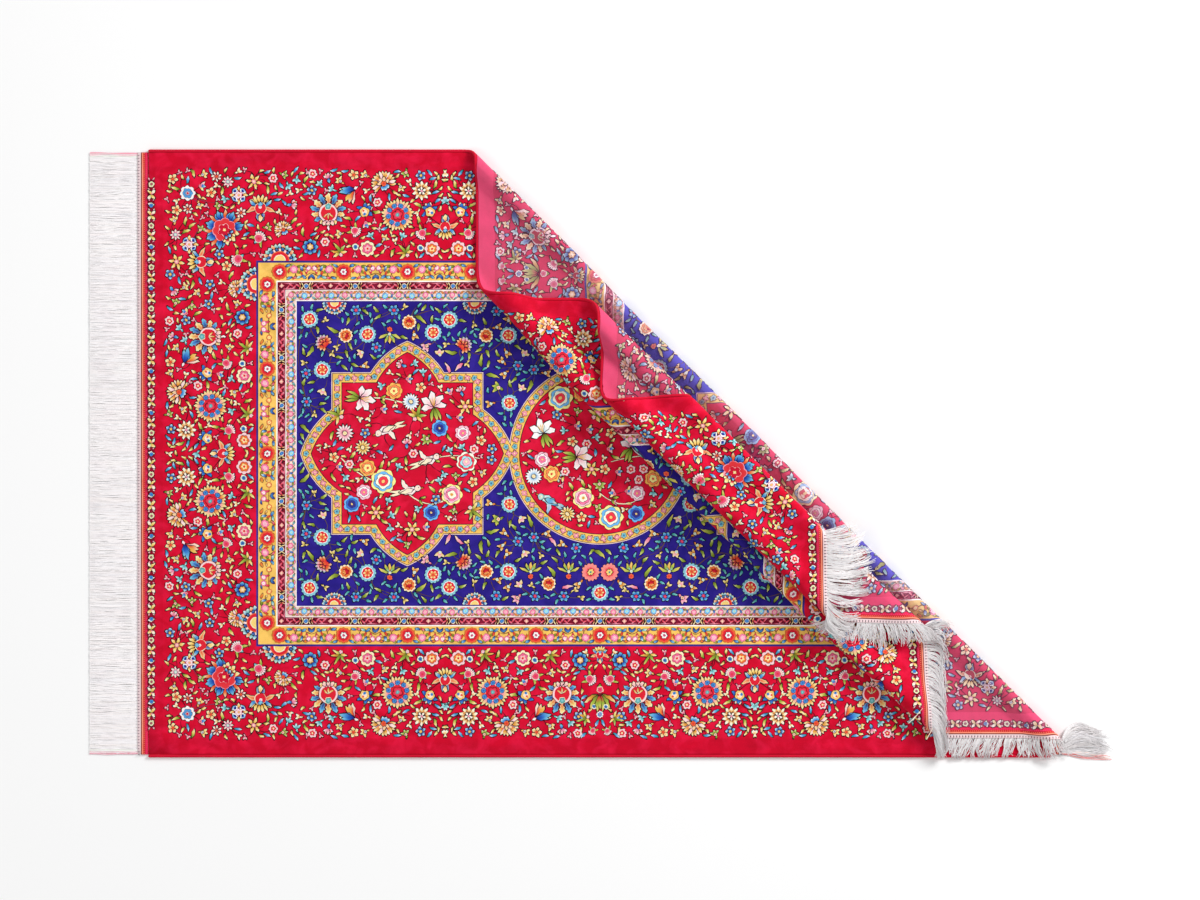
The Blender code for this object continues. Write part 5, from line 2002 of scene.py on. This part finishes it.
        def allowed(x: float, y: float, r: float) -> bool:
            outer = x + r < 153 and y + r < 155
            return outer and (x - r > 3 or y - r > 3) and x > -86 and y > -93
        filling = self.scatter(self.motifs.small, (-86, 153, -93, 153), taken, allowed, 9,
                               7000, -0.4)
        for drawing, x, y in filling:
            self.add("border", drawing.moved(x=x / 1000, y=y / 1000), *frame)
        for stem in (((104, 38), (92, 78), (106, 104)), ((38, 104), (70, 96), (104, 106))):
            self.add("border", stroke(stem, 1.0, (120, 60, 90)), *frame)

    def middle(self, frame_y: float) -> None:
        """The pair of leaves and flowers on the long sides' middle line."""
        frame = (np.array([[0.0, 1.0], [1.0, 0.0]]), np.array([0.0, frame_y]))
        parts = [petal(26, 6, tone, 4, side * turn, bend=-side * 6, level=3, steps=6)
                 for side in (1, -1)
                 for turn, tone in ((20, (SCARLET, LEAF, YELLOW)), (44, (OLIVE, LEAF, YELLOW)),
                                    (70, (OLIVE, GOLD, CREAM)))]
        parts.append(petal(22, 5, (SCARLET, LEAF, YELLOW), 4, level=4))
        parts.append(petal(16, 7, (OLIVE, LEAF), 0, 180, level=4))
        parts.append(disc(5, (SCARLET, ROSE), 5, 0.2, level=5, outline=CREAM, x=-6))
        self.add("border", Drawing.joined(parts).moved(x=0.078), *frame)
        self.spot("border", "star_rosette", 113, 0, 0, 0.45, frame)
        self.spot("border", "fleur", 14, 0, 0, 0.7, frame)
        taken = [(78, 0, 21), (104, 0, 8), (113, 0, 7), (14, 0, 15)]
        for name, x, y, turn, size in (("crescent", 54, 17, -60, 0.9), ("eye", 100, 10, 0, 0.8),
                                       ("crescent", 140, 12, 20, 0.6), ("sprig", 118, 22, 60, .8)):
            self.spot("border", name, x, y, turn, size, frame)
            taken.append(self.footprint(name, x, y, turn, size))
        filling = self.scatter(self.motifs.small, (3, 153, 0, 36), taken,
                               lambda x, y, r: r + 2 < x < 155 - r and r < y < 37 - r, 12,
                               3000, -0.4)
        for drawing, x, y in filling:
            self.add("border", drawing.moved(x=x / 1000, y=y / 1000), *frame)

    def frames(self) -> None:
        """The flowers of the gold, maroon and cream bands and of the end guards."""
        self.gold_band()
        for depth, width, counts, maker in ((0.0420, 12.0, (13, 7), self.maroon_unit),
                                            (0.0576, 15.0, (23, 12), self.cream_unit)):
            half_x, half_y = 0.5706 - depth, 0.3201 - depth
            for length, count, frame in (
                    (half_x, counts[0], (np.eye(2), np.array([0.0, half_y]))),
                    (half_y, counts[1], (np.array([[0.0, 1.0], [1.0, 0.0]]),
                                         np.array([half_x, 0.0])))):
                half = length * 1000 / count
                arm, joints = maker(half, width)
                for number in range(count + (length == half_x)):
                    joint = joints[number % 2].moved(x=number * half / 1000)
                    self.add("frames", joint, *frame)
                for number in range(count):
                    turned = arm if number % 2 == 0 else arm.moved(turn=180, flip=True)
                    at = (number + number % 2) * half / 1000
                    self.add("frames", turned.moved(x=at), *frame)
        self.guard()

    def gold_band(self) -> None:
        """Red rosettes and vines on the gold band."""
        red = Drawing.joined([
            disc(12.6, (SCARLET, (236, 96, 60)), 12, 0.12, level=3, outline=(190, 120, 40)),
            disc(9.6, (SCARLET, SCARLET), 8, 0.14, level=4),
            disc(5.4, (BLUSH, WHITE), 6, 0.24, level=5, outline=WINE),
            disc(2.3, (ROSE, (150, 20, 70)), 4, 0.3, level=7)])
        depth = 0.0184
        half_x, half_y = 0.5706 - depth, 0.3201 - depth
        along = (np.eye(2), np.array([0.0, half_y]))
        across = (np.array([[0.0, 1.0], [1.0, 0.0]]), np.array([half_x, 0.0]))
        for gap, count, frame in ((106.4, 5, along), (140.5, 2, across)):
            arm = self.vine(gap / 2)
            for number in range(count + 1):
                at = number * gap / 1000
                self.add("frames", red.moved(x=at), *frame)
                if number < count:
                    self.add("frames", arm.moved(x=at), *frame)
                if number > 0:
                    back = Drawing(arm.points * np.array([-1, 1]), arm.colours, arm.levels,
                                   arm.faces[:, ::-1])
                    self.add("frames", back.moved(x=at), *frame)

    def vine(self, half: float) -> Drawing:
        """Half of the vine between two red rosettes, growing along X."""
        brown = (110, 60, 40)
        parts = [stroke([(11, -8), (20, -11), (27, -4), (24, 6)], 0.9, brown, 1),
                 stroke([(26, -3), (34, -10), (44, -6), (half, -2)], 0.9, brown, 1),
                 rose(6.6, (ROSE, PINK), CREAM).moved(x=0.024, y=0.004),
                 rose(4.6, (ROSE, BLUSH), YELLOW).moved(x=(half - 5) / 1000, y=0.006)]
        for x, y, turn, tone in (
                (16, 2, 80, (SCARLET, ORANGE)), (21, 11, -10, (OLIVE, LEAF, CREAM)),
                (25, -10, 40, (SCARLET, PINK)), (31, 0, -50, (OLIVE, LEAF)),
                (36, -2, 120, (SCARLET, ORANGE)), (43, 2, -20, (OLIVE, GOLD, CREAM)),
                (half - 8, 0, 90, (SCARLET, ROSE)), (half - 11, 10, 20, (NAVY, SKY))):
            parts.append(petal(7.4, 3.4, tone, -4, level=2, steps=3, outline=(130, 70, 40),
                               border=0.5).moved(x=x / 1000, y=y / 1000, turn=turn))
        for x, y, turn, tone in ((13, 10, 30, (NAVY, SKY, AQUA)), (17, -10, -160, (AZURE, AQUA)),
                                 (37, 5, 110, (NAVY, SKY, WHITE)), (40, -8, -30, (AZURE, AQUA)),
                                 (33, -9, 200, (TEAL, AQUA, CREAM)), (32, 9, 10, (OLIVE, LEAF)),
                                 (45, 9, 160, (GOLD, ORANGE)), (half - 3, -9, 60, (NAVY, SKY))):
            parts.append(petal(9, 4.4, tone, -4, level=3, steps=3, outline=(70, 40, 60),
                               border=0.6).moved(x=x / 1000, y=y / 1000, turn=turn))
        if half > 60:
            parts.append(rose(4.4, (ORANGE, YELLOW), ROSE).moved(x=0.052, y=-0.003))
        return Drawing.joined(parts)

    def maroon_unit(self, half: float, width: float) -> tuple[Drawing, tuple[Drawing, ...]]:
        """Half a repeat of the narrow maroon band, and the flowers at its two ends."""
        h = width / 2
        dark, pink = (48, 8, 26), (230, 92, 116)
        parts = [petal(half * 0.46, width * 0.9, (dark, dark, (90, 12, 34)), 0.4, level=1,
                       steps=6, outline=None, belly=0.3, blunt=0.7)]
        for x, tone in ((5.6, YELLOW), (9.4, ORANGE)):
            for side in (-1, 1):
                parts.append(petal(6.4, 1.9, (tone, CREAM), 0, side * 90, bend=-side * 2.2,
                                   level=4, outline=None, steps=3).moved(x=x / 1000))
        for x, side in ((14, 1), (19, -1), (25, 1), (30, -1)):
            parts.append(petal(10, 3.4, (SCARLET, pink, PINK), -5, side * 42, level=3, steps=3,
                               outline=dark, border=0.5).moved(x=x / 1000, y=side * 0.0012))
        for side in (-1, 1):
            parts.append(petal(half * 0.5, 1.6, (PINK, pink), half * 0.45, level=3, steps=3,
                               outline=None).moved(y=side * (h - 1.4) / 1000))
        first = disc(3.6, (SKY, AZURE), level=5, sides=8, outline=CREAM, border=0.9)
        last = disc(4.2, (CREAM, pink), 4, 0.4, level=4, outline=dark)
        return Drawing.joined(parts), (first, last)

    def cream_unit(self, half: float, width: float) -> tuple[Drawing, tuple[Drawing, ...]]:
        """Half a repeat of the cream band, and the flowers at its two ends."""
        olive = (150, 110, 70)
        parts = [stroke([(0, 3), (half * 0.3, 5.4), (half * 0.7, -5.4), (half, -3)], 1.0, olive)]
        for x, y, turn, tone in ((half * 0.3, -3.8, 20, (OLIVE, LEAF)), (6, 5, 150, (ORANGE, GOLD)),
                                 (half * 0.55, 4.4, -30, (ROSE, PINK)),
                                 (half - 6, -4.6, 160, (TEAL, AQUA)), (5, -6, 10, (ROSE, PINK)),
                                 (half * 0.5, -0.5, 80, (AZURE, SKY)),
                                 (half * 0.78, 5.2, 30, (OLIVE, GOLD))):
            parts.append(petal(6.6, 3.0, tone, -3.3, level=2, steps=3, outline=(140, 84, 80),
                               border=0.4).moved(x=x / 1000, y=y / 1000, turn=turn))
        first = rose(5.0, (SKY, AQUA), YELLOW).moved(y=-0.0008)
        last = rose(4.6, (ROSE, PINK), YELLOW).moved(y=0.0008)
        return Drawing.joined(parts), (first, last)

    def guard(self) -> None:
        """The small flowers and bows of the guard stripe at each end."""
        frame = (np.array([[0.0, 1.0], [1.0, 0.0]]), np.array([0.7447, 0.0]))
        blue = Drawing.joined([
            petal(11, 6.2, (CREAM, WHITE), -5.5, 90, level=2, bend=-2),
            disc(3.2, (AZURE, SKY), level=4, sides=8, x=-1, outline=WINE, border=0.5)])
        bow = Drawing.joined([petal(9.2, 4.6, tone, 0.2, turn, level=2, bend=b) for turn, b, tone in (
            (30, 1.5, (ORANGE, YELLOW, CREAM)), (150, -1.5, (LEAF, CREAM, WHITE)),
            (-30, -1.5, (ROSE, CREAM, WHITE)), (-150, 1.5, (GOLD, YELLOW, CREAM)))])
        flower = Drawing.joined([disc(4.9, (LEAF, CREAM), 5, 0.16, level=2, outline=WINE),
                                 disc(2.2, (ROSE, WINE), level=4, sides=6)])
        for number in range(27):
            drawing = (blue, bow, flower, bow)[number % 4]
            self.add("frames", drawing.moved(x=number * 0.0172), *frame)
            for side in (-1, 1):
                leaf = petal(5.2, 2.6, (ROSE, PINK, CREAM), -2.6, side * 30, level=1, steps=3,
                             border=0.5)
                self.add("frames", leaf.moved(x=(number + 0.5) * 0.0172, y=side * 0.0036), *frame)

    def field(self) -> None:
        """The navy field's rosettes, sprays, stems and leaves."""
        frame = (np.eye(2), np.zeros(2))
        taken = []
        for name, a, b, turn, size in FIELD:
            self.spot("field", name, a, b, turn, size, frame)
            taken.append(self.footprint(name, a, b, turn, size))
        for stem in FIELD_STEMS:
            self.add("field", stroke(stem, 1.0, (96, 66, 40)), *frame)
            for (x0, y0), (x1, y1) in zip(stem, stem[1:]):
                taken.append(((x0 + x1) / 2, (y0 + y1) / 2, 0.5))
        plan = GroundPlan()

        def allowed(a: float, b: float, r: float) -> bool:
            if a + r > 501 or b + r > 251 or (a - r < 0 and abs(a) > 0.4):
                return False
            star = float(plan.star_distance(np.array(a / 1000), np.array(b / 1000)))
            circle = math.hypot(a, b) / 1000 - plan.circle
            return min(star, circle) * 1000 > r * 0.8 + 1
        filling = self.scatter(self.motifs.field_small, (0, 501, 0, 251), taken, allowed, 3,
                               16000, 0.2, (104, 84, 40))
        for drawing, x, y in filling:
            self.add("field", drawing.moved(x=x / 1000, y=y / 1000), *frame)

    def mesh_piece(self, group: str, part: int, side: Side,
                   material: bpy.types.Material) -> bpy.types.Object | None:
        """Lays one half of a group's drawings in the folds as a piece.

        Args:
            group: The group's name.
            part: -1 for the drawings left of the middle, 1 for the others, 0 for all.
            side: Which side of the cloth they are seen on.
            material: Their finish.

        Returns:
            The piece, or nothing where none of them shows.
        """
        chosen = [d for d in self.groups[group] if self.shows(d, part, side)]
        if not chosen:
            return None
        whole = Drawing.joined(chosen)
        x, y = whole.points[:, 0], whole.points[:, 1]
        x, y = (x + 0.00034 * np.sin(1800 * y + 4 * np.sin(900 * x)) + 0.0003 * np.sin(410 * y),
                y + 0.00034 * np.sin(1700 * x + 4 * np.sin(950 * y)) + 0.0003 * np.sin(390 * x))
        rise = 0.00028 + whole.levels * self.step
        if side is Side.FACE:
            lift, faces, colours = MIDDLE + rise, whole.faces, whole.colours / 255
        else:
            lift, faces = -MIDDLE - rise - 0.0004, whole.faces[:, ::-1]
            colours = whole.colours / 255
            grey = colours.mean(axis=1, keepdims=True)
            colours = colours * 0.48 + grey * 0.22 + np.array([0.84, 0.62, 0.76]) * 0.30
        name = f"{group}_{side.value}_{('left', 'all', 'right')[part + 1]}"
        laid = self.cloth.place_flat(x, y, lift)
        laid[:, 2] = np.maximum(laid[:, 2], 0.0)
        mesh = array_mesh(name, laid, faces)
        shown = np.where(colours <= 0.04045, colours / 12.92, ((colours + 0.055) / 1.055) ** 2.4)
        layer = mesh.color_attributes.new("dye", "FLOAT_COLOR", "POINT")
        layer.data.foreach_set("color", np.column_stack([shown, np.ones(len(shown))])
                               .astype(np.float32).ravel())
        mesh.materials.append(material)
        return new_piece(name, mesh)

    def shows(self, drawing: Drawing, part: int, side: Side) -> bool:
        """Whether a drawing belongs to a part and lies where it can be seen."""
        low, high = drawing.points.min(axis=0), drawing.points.max(axis=0)
        middle = (low + high) / 2
        if part and (middle[0] < 0) != (part < 0):
            return False
        reach = float(max(high - low)) / 2 + 0.012
        x = middle[0] + np.array([0.0, reach, -reach, 0.0, 0.0])
        y = middle[1] + np.array([0.0, 0.0, 0.0, reach, -reach])
        x, y = np.clip(x, -HALF_LENGTH, HALF_LENGTH), np.clip(y, -HALF_WIDTH, HALF_WIDTH)
        s, v = (x + y) / ROOT2, (x - y) / ROOT2
        angle = self.cloth.look_up(s, v)[2]
        points = self.cloth.place(s, v, 0.0)
        facing = np.cos(angle) > -0.5 if side is Side.FACE else np.cos(angle) < 0.3
        if side is Side.REVERSE:
            facing &= s > 0.19
        clear = points[:, 2] + 0.0065 > self.cover.top(points[:, 0], points[:, 1])
        return bool((facing & clear).any())


class Medallions:
    """The flowers inside the star medallions and the round one, and their gold rings."""

    def __init__(self, pattern: Pattern) -> None:
        """Keeps the pattern that the drawings join."""
        self.pattern = pattern

    def build(self) -> None:
        """Places the rings' rosettes and both bouquets."""
        plan = GroundPlan()
        circle = [(plan.circle - 0.0093) * np.array([math.cos(t), math.sin(t)])
                  for t in np.linspace(0, math.tau, 721)]
        star = []
        for turn in np.linspace(0, math.tau, 1441):
            way = np.array([math.cos(turn), math.sin(turn)])
            low, high = 0.05, 0.25
            for _ in range(30):
                reach = (low + high) / 2
                spot = way * reach + np.array([plan.star_x, 0.0])
                if plan.star_distance(spot[0], spot[1]) < -0.0093:
                    low = reach
                else:
                    high = reach
            star.append(way * low)
        self.ring(np.array(circle), np.zeros(2))
        for side in (-1, 1):
            self.ring(np.array(star) * np.array([side, 1]), np.array([side * plan.star_x, 0.0]))
        self.bouquets(plan)

    def ring(self, path: np.ndarray, centre: np.ndarray) -> None:
        """Blue rosettes and pink flowers along a closed ring."""
        steps = np.hypot(*np.diff(path, axis=0).T)
        length = np.concatenate([[0.0], np.cumsum(steps)])
        count = int(round(length[-1] / 0.0115 / 2)) * 2
        line = (120, 74, 40)
        blue = Drawing.joined([disc(4.6, (TEAL, AQUA), 5, 0.3, level=3, outline=line),
                               disc(1.9, (NAVY, SKY), level=4, sides=6)])
        pink = Drawing.joined([disc(4.8, (ROSE, PINK), 4, 0.4, level=3, outline=line),
                               disc(1.4, (YELLOW, CREAM), level=4, sides=6)])
        leaf = petal(7, 2.8, (ORANGE, CREAM), -3, 30, level=2, steps=3, outline=line, border=0.35)
        for number in range(count):
            at = length[-1] * number / count
            x, y = np.interp(at, length, path[:, 0]), np.interp(at, length, path[:, 1])
            parts = (blue,) if number % 2 == 0 else (pink, leaf.moved(y=0.005),
                                                     leaf.moved(y=-0.005))
            for part in parts:
                turned = part.moved(turn=number * 37.0).moved(x=x, y=y)
                self.pattern.add("medallions", turned, np.eye(2), centre, quarters=False)

    def bouquets(self, plan: GroundPlan) -> None:
        """Own loose bouquets of common flowers, with two small birds."""
        flowers = {
            "lily": lily(21, ROSE, BLUSH), "white_lily": lily(21, AQUA, WHITE),
            "blue": rose(14, (SKY, AZURE, NAVY), YELLOW), "peony": rose(18, (YELLOW, PINK, ROSE,
                                                                            CREAM), GOLD),
            "rose": rose(21, (YELLOW, SKY, CREAM, SCARLET), YELLOW),
            "orange": rose(14, (GOLD, ORANGE, YELLOW), SCARLET),
            "cream": rose(17, (CREAM, SCARLET, AQUA, PINK), CREAM),
            "pink": rose(13, (PINK, BLUSH, ROSE), YELLOW), "aster": aster(15, ROSE, BLUSH),
            "gold_aster": aster(13, GOLD, YELLOW, 12), "sky_aster": aster(14, SKY, WHITE, 16),
            "star": self.pattern.motifs.star_yellow, "small": self.pattern.motifs.small[1][0],
            "five": self.pattern.motifs.small[0][0], "blue_five": self.pattern.motifs.small[2][0],
            "bird": bird(BLUSH, CREAM), "blue_bird": bird(AQUA, SKY),
            "spray": self.pattern.motifs.sprig,
        }
        star = (
            ("lily", 44, 78, 100), ("blue", 54, 42, 0), ("aster", -104, 34, 0),
            ("gold_aster", -74, 10, 0), ("lily", -78, 92, -10), ("orange", -22, 104, 0),
            ("small", 0, 124, 0), ("five", 22, 110, 0), ("star", 96, 78, 0), ("small", 84, 60, 0),
            ("bird", -34, 40, 200), ("pink", 92, 34, 0), ("five", 122, 22, 0),
            ("rose", -40, -46, 0), ("orange", -66, -24, 0), ("pink", -72, -64, 0),
            ("blue", -92, -84, 0), ("star", -52, -98, 0), ("cream", 98, -14, 0),
            ("peony", 74, -68, 0), ("blue", 40, -98, 0), ("star", 8, -126, 0),
            ("small", 28, -122, 0), ("bird", 34, -12, 20), ("bird", 2, -62, 10),
            ("blue_five", 10, 0, 0), ("five", -122, -6, 0), ("small", -116, -22, 0),
            ("blue_five", -96, -18, 0), ("spray", 106, -92, -50), ("spray", 14, 60, 60),
            ("sky_aster", 6, 86, 0), ("small", -42, 74, 0), ("spray", -112, 62, 150),
        )
        round_one = (
            ("rose", -66, 92, 0), ("white_lily", -94, 34, 110), ("pink", -96, -10, 0),
            ("sky_aster", -110, -38, 0), ("orange", -80, -34, 0), ("blue_five", -58, -30, 0),
            ("lily", -38, -6, 0), ("star", -14, -26, 0), ("five", 8, -26, 0),
            ("small", 28, -30, 0), ("peony", -28, -74, 0), ("rose", 18, -106, 0),
            ("blue", 60, -100, 0), ("small", 14, 8, 0), ("small", -20, 40, 0),
            ("blue_five", -22, 16, 0), ("five", -46, 20, 0), ("small", -40, 46, 0),
            ("orange", 88, -42, 0), ("pink", 62, -66, 0), ("small", 44, -62, 0),
            ("gold_aster", -54, -100, 0), ("blue_bird", -84, -78, 150), ("spray", -8, 62, 40),
            ("pink", 10, 96, 0), ("peony", 64, 74, 0), ("blue", 88, 24, 0), ("lily", 52, 10, 60),
            ("five", 110, -20, 0), ("orange", -30, 100, 0), ("spray", 50, 44, 160),
        )
        twigs = (((-110, -8), (-84, -30), (-60, -44)), ((18, -14), (70, -4), (120, -8)),
                 ((0, -66), (40, -84), (74, -66)), ((-70, 92), (-20, 88), (30, 70)))
        leafy = self.pattern.motifs.small
        for centre, spots, mirror, seed in (
                ((-plan.star_x, 0.0), star, 1, 21), ((plan.star_x, 0.0), star, -1, 21),
                ((0.0, 0.0), round_one, 1, 22)):
            frame = (np.diag([float(mirror), 1.0]), np.array(centre))
            taken = []
            for line in twigs:
                self.pattern.add("medallions", twig(list(line)), *frame, quarters=False)
            for name, x, y, turn in spots:
                drawing = flowers[name].moved(turn=turn, raised=1).moved(x=x / 1000, y=y / 1000)
                self.pattern.add("medallions", drawing, *frame, quarters=False)
                reach = np.percentile(np.hypot(*flowers[name].points.T), 90) * 1000
                taken.append((x, y, float(reach)))

            def allowed(x: float, y: float, r: float) -> bool:
                if spots is star:
                    edge = plan.star_distance(np.array(plan.star_x + x / 1000),
                                              np.array(y / 1000))
                else:
                    edge = math.hypot(x, y) / 1000 - plan.circle
                return float(edge) * 1000 < -20 - r
            for drawing, x, y in self.pattern.scatter(leafy, (-160, 160, -160, 160), taken,
                                                      allowed, seed, 6000, 0.0):
                placed = drawing.moved(x=x / 1000, y=y / 1000)
                self.pattern.add("medallions", placed, *frame, quarters=False)


class Studio:
    """The pale floor, the soft light and the camera straight above."""

    height = 8.0
    floor_size = 60.0

    def build(self) -> None:
        """Sets up the studio."""
        self.floor()
        self.camera()
        self.lights()

    def floor(self) -> None:
        """A wide pale floor just under the rug."""
        half = self.floor_size / 2
        drop = -0.0004
        points = np.array([(-half, -half, drop), (half, -half, drop), (half, half, drop),
                           (-half, half, drop)])
        mesh = array_mesh("studio_floor", points, np.array([[0, 1, 2, 3]]))
        material = bpy.data.materials.new("studio_floor")
        material.use_nodes = True
        kit = NodeKit(material.node_tree)
        shader = kit.tree.nodes["Principled BSDF"]
        where = kit.add("ShaderNodeTexCoord").outputs["Object"]
        cloud = kit.add("ShaderNodeTexNoise", {"Vector": where, "Scale": 0.5}).outputs[0]
        kit.feed(shader.inputs["Base Color"],
                 kit.mix(cloud, (0.95, 0.95, 0.95), (0.97, 0.97, 0.97)))
        kit.feed(shader.inputs["Roughness"], 0.9)
        mesh.materials.append(material)
        new_piece("studio_floor", mesh)

    def camera(self) -> None:
        """A long lens straight above, framed as the photograph is."""
        data = bpy.data.cameras.new("camera")
        data.sensor_width = 36.0
        data.lens = data.sensor_width * self.height / (PHOTO_SIZE[0] * PIXEL)
        camera = new_piece("camera", data)
        drop = (RUG_MIDDLE_PX[1] - PHOTO_SIZE[1] / 2) * PIXEL
        camera.location = (0.0, drop, self.height)
        bpy.context.scene.camera = camera

    def lights(self) -> None:
        """Soft light from all round, with one large lamp from the upper right."""
        scene = bpy.context.scene
        world = bpy.data.worlds.new("studio")
        world.use_nodes = True
        world.node_tree.nodes["Background"].inputs["Color"].default_value = (1, 1, 1, 1)
        world.node_tree.nodes["Background"].inputs["Strength"].default_value = 0.52
        scene.world = world
        scene.view_settings.view_transform = "Standard"
        for name, place, size, power in (
            ("key_light", (3.2, 2.6, 2.7), 1.9, 215.0),
            ("fill_light", (-2.6, -1.4, 3.0), 3.0, 30.0),
        ):
            lamp = bpy.data.lights.new(name, "AREA")
            lamp.shape = "DISK"
            lamp.size = size
            lamp.energy = power
            light = new_piece(name, lamp)
            light.location = place
            light.rotation_euler = (-Vector(place)).to_track_quat("-Z", "Y").to_euler()


def finish_piece(piece: bpy.types.Object, slot: str, *nodes: str) -> bpy.types.Object:
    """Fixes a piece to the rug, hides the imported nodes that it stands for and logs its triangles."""
    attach(piece, BODY)
    if nodes:
        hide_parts(*nodes)
    piece.data.calc_loop_triangles()
    LOG.info("%s: %d triangles", piece.name, len(piece.data.loop_triangles))
    return piece


def main() -> None:
    """Builds the rug's dress piece by piece."""
    logging.basicConfig(level=logging.INFO, format="%(message)s")
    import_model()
    Studio().build()

    cloth = FoldedCloth()
    # The last number of each pile finish is the strength of its painted sheen patches
    face = PileFinish(Side.FACE, FACE_COLOURS, 0.85, 0.12, 0.16, 0.35, 0.8).make("pile_face")
    reverse = PileFinish(Side.REVERSE, REVERSE_COLOURS, 0.9, 0.05, 0.08, 0.30, 0.3).make("weave_reverse")
    crimson_yarn = YarnFinish((218, 8, 50), (196, 4, 42), sheen=0.03).make("crimson_yarn")
    zones = tuple((HALF_LENGTH + reach, colour) for reach, colour in (
        (0.0, (244, 44, 96)), (0.0050, (206, 40, 46)), (0.0106, (96, 40, 44)),
        (0.0122, (250, 242, 244))))
    band_weave = YarnFinish((206, 30, 50), (170, 20, 38), sheen=0.05, grain=0.6,
                            zones=zones).make("band_weave")
    gold_yarn = YarnFinish((250, 166, 134), (240, 122, 92), sheen=0.05).make("gold_yarn")
    pink_yarn = YarnFinish((248, 86, 128), (232, 50, 98), sheen=0.05).make("pink_yarn")
    plum_yarn = YarnFinish((142, 128, 142), (104, 90, 108), sheen=0.0).make("plum_yarn")
    # The right end's stitches are the plum stitches made darker: painted shade for the deep gaps of the
    # folded fringe
    shadowed_plum_yarn = YarnFinish((112, 94, 106), (84, 68, 80), sheen=0.0).make("shadowed_plum_yarn")
    cotton = YarnFinish((255, 252, 252), (252, 246, 248), sheen=0.15, grain=0.15,
                        tint="tint").make("white_cotton")

    whole = FlatBox(cloth, -HALF_LENGTH, HALF_LENGTH, -HALF_WIDTH, HALF_WIDTH)
    sheet = DrapedSlab(whole, PILE_THICKNESS, 90, 0.0026).build("pile_cloth", face, reverse)
    finish_piece(sheet, "pile", "pile_rug")

    for title, side in (("far", 1), ("near", -1)):
        roll = Selvedge(cloth, side).build(f"overcast_{title}", crimson_yarn)
        finish_piece(roll, "binding", f"selvedge_{title}")

    tools = (("chain", stitch_tool(gold_yarn, (0.0021, 0.0013, 0.0010)), 0.0034, (0.0064,)),
             ("dots", stitch_tool(pink_yarn, (0.0022, 0.0016, 0.0010)), 0.0033, (0.0034,)))
    cords = thread_tool(gold_yarn, 0.0013, 6, 1.0)
    knots = {"left": stitch_tool(plum_yarn, (0.0015, 0.0024, 0.0020)),
             "right": stitch_tool(shadowed_plum_yarn, (0.0016, 0.0040, 0.0014))}
    threads = thread_tool(cotton, 0.00062, 3, 0.34)
    relief = Relief()
    for title, side in (("left", -1), ("right", 1)):
        band = EndBand(cloth, side)
        ground = band.ground(f"band_{title}", band_weave)
        finish_piece(ground, "end_band", f"end_band_{title}")
        for kind, tool, pitch, columns in tools:
            chain = band.beads(f"band_{kind}_{title}", tool, pitch, columns)
            finish_piece(chain, "end_band")
        line = band.cords(f"band_cord_{title}", cords, 0.0092)
        finish_piece(line, "end_band")
        fringe = Fringe(cloth, side, seed=11 + side)
        last_y = HALF_WIDTH if side < 0 else 0.262
        stitches = fringe.knots(f"fringe_stitches_{title}", knots[title], last_y)
        finish_piece(stitches, "cotton")
        parts = fringe.straight() if side < 0 else fringe.folded(relief)
        hanks = fringe.build(f"threads_{title}", threads, parts)
        finish_piece(hanks, "cotton", f"fringe_{title}")

    pattern = Pattern(cloth)
    pattern.border()
    pattern.frames()
    pattern.field()
    Medallions(pattern).build()
    dyed = DyedYarn().make("dyed_pile")
    pale = DyedYarn(0.9, 0.05, 0.07).make("dyed_reverse")
    for group, parts in (("border", (-1, 1)), ("frames", (-1, 1)), ("field", (-1, 1)),
                         ("medallions", (0,))):
        for part in parts:
            for seen, material in ((Side.FACE, dyed), (Side.REVERSE, pale)):
                drawn = pattern.mesh_piece(group, part, seen, material)
                if drawn:
                    finish_piece(drawn, "pile")


if __name__ == "__main__":
    main()
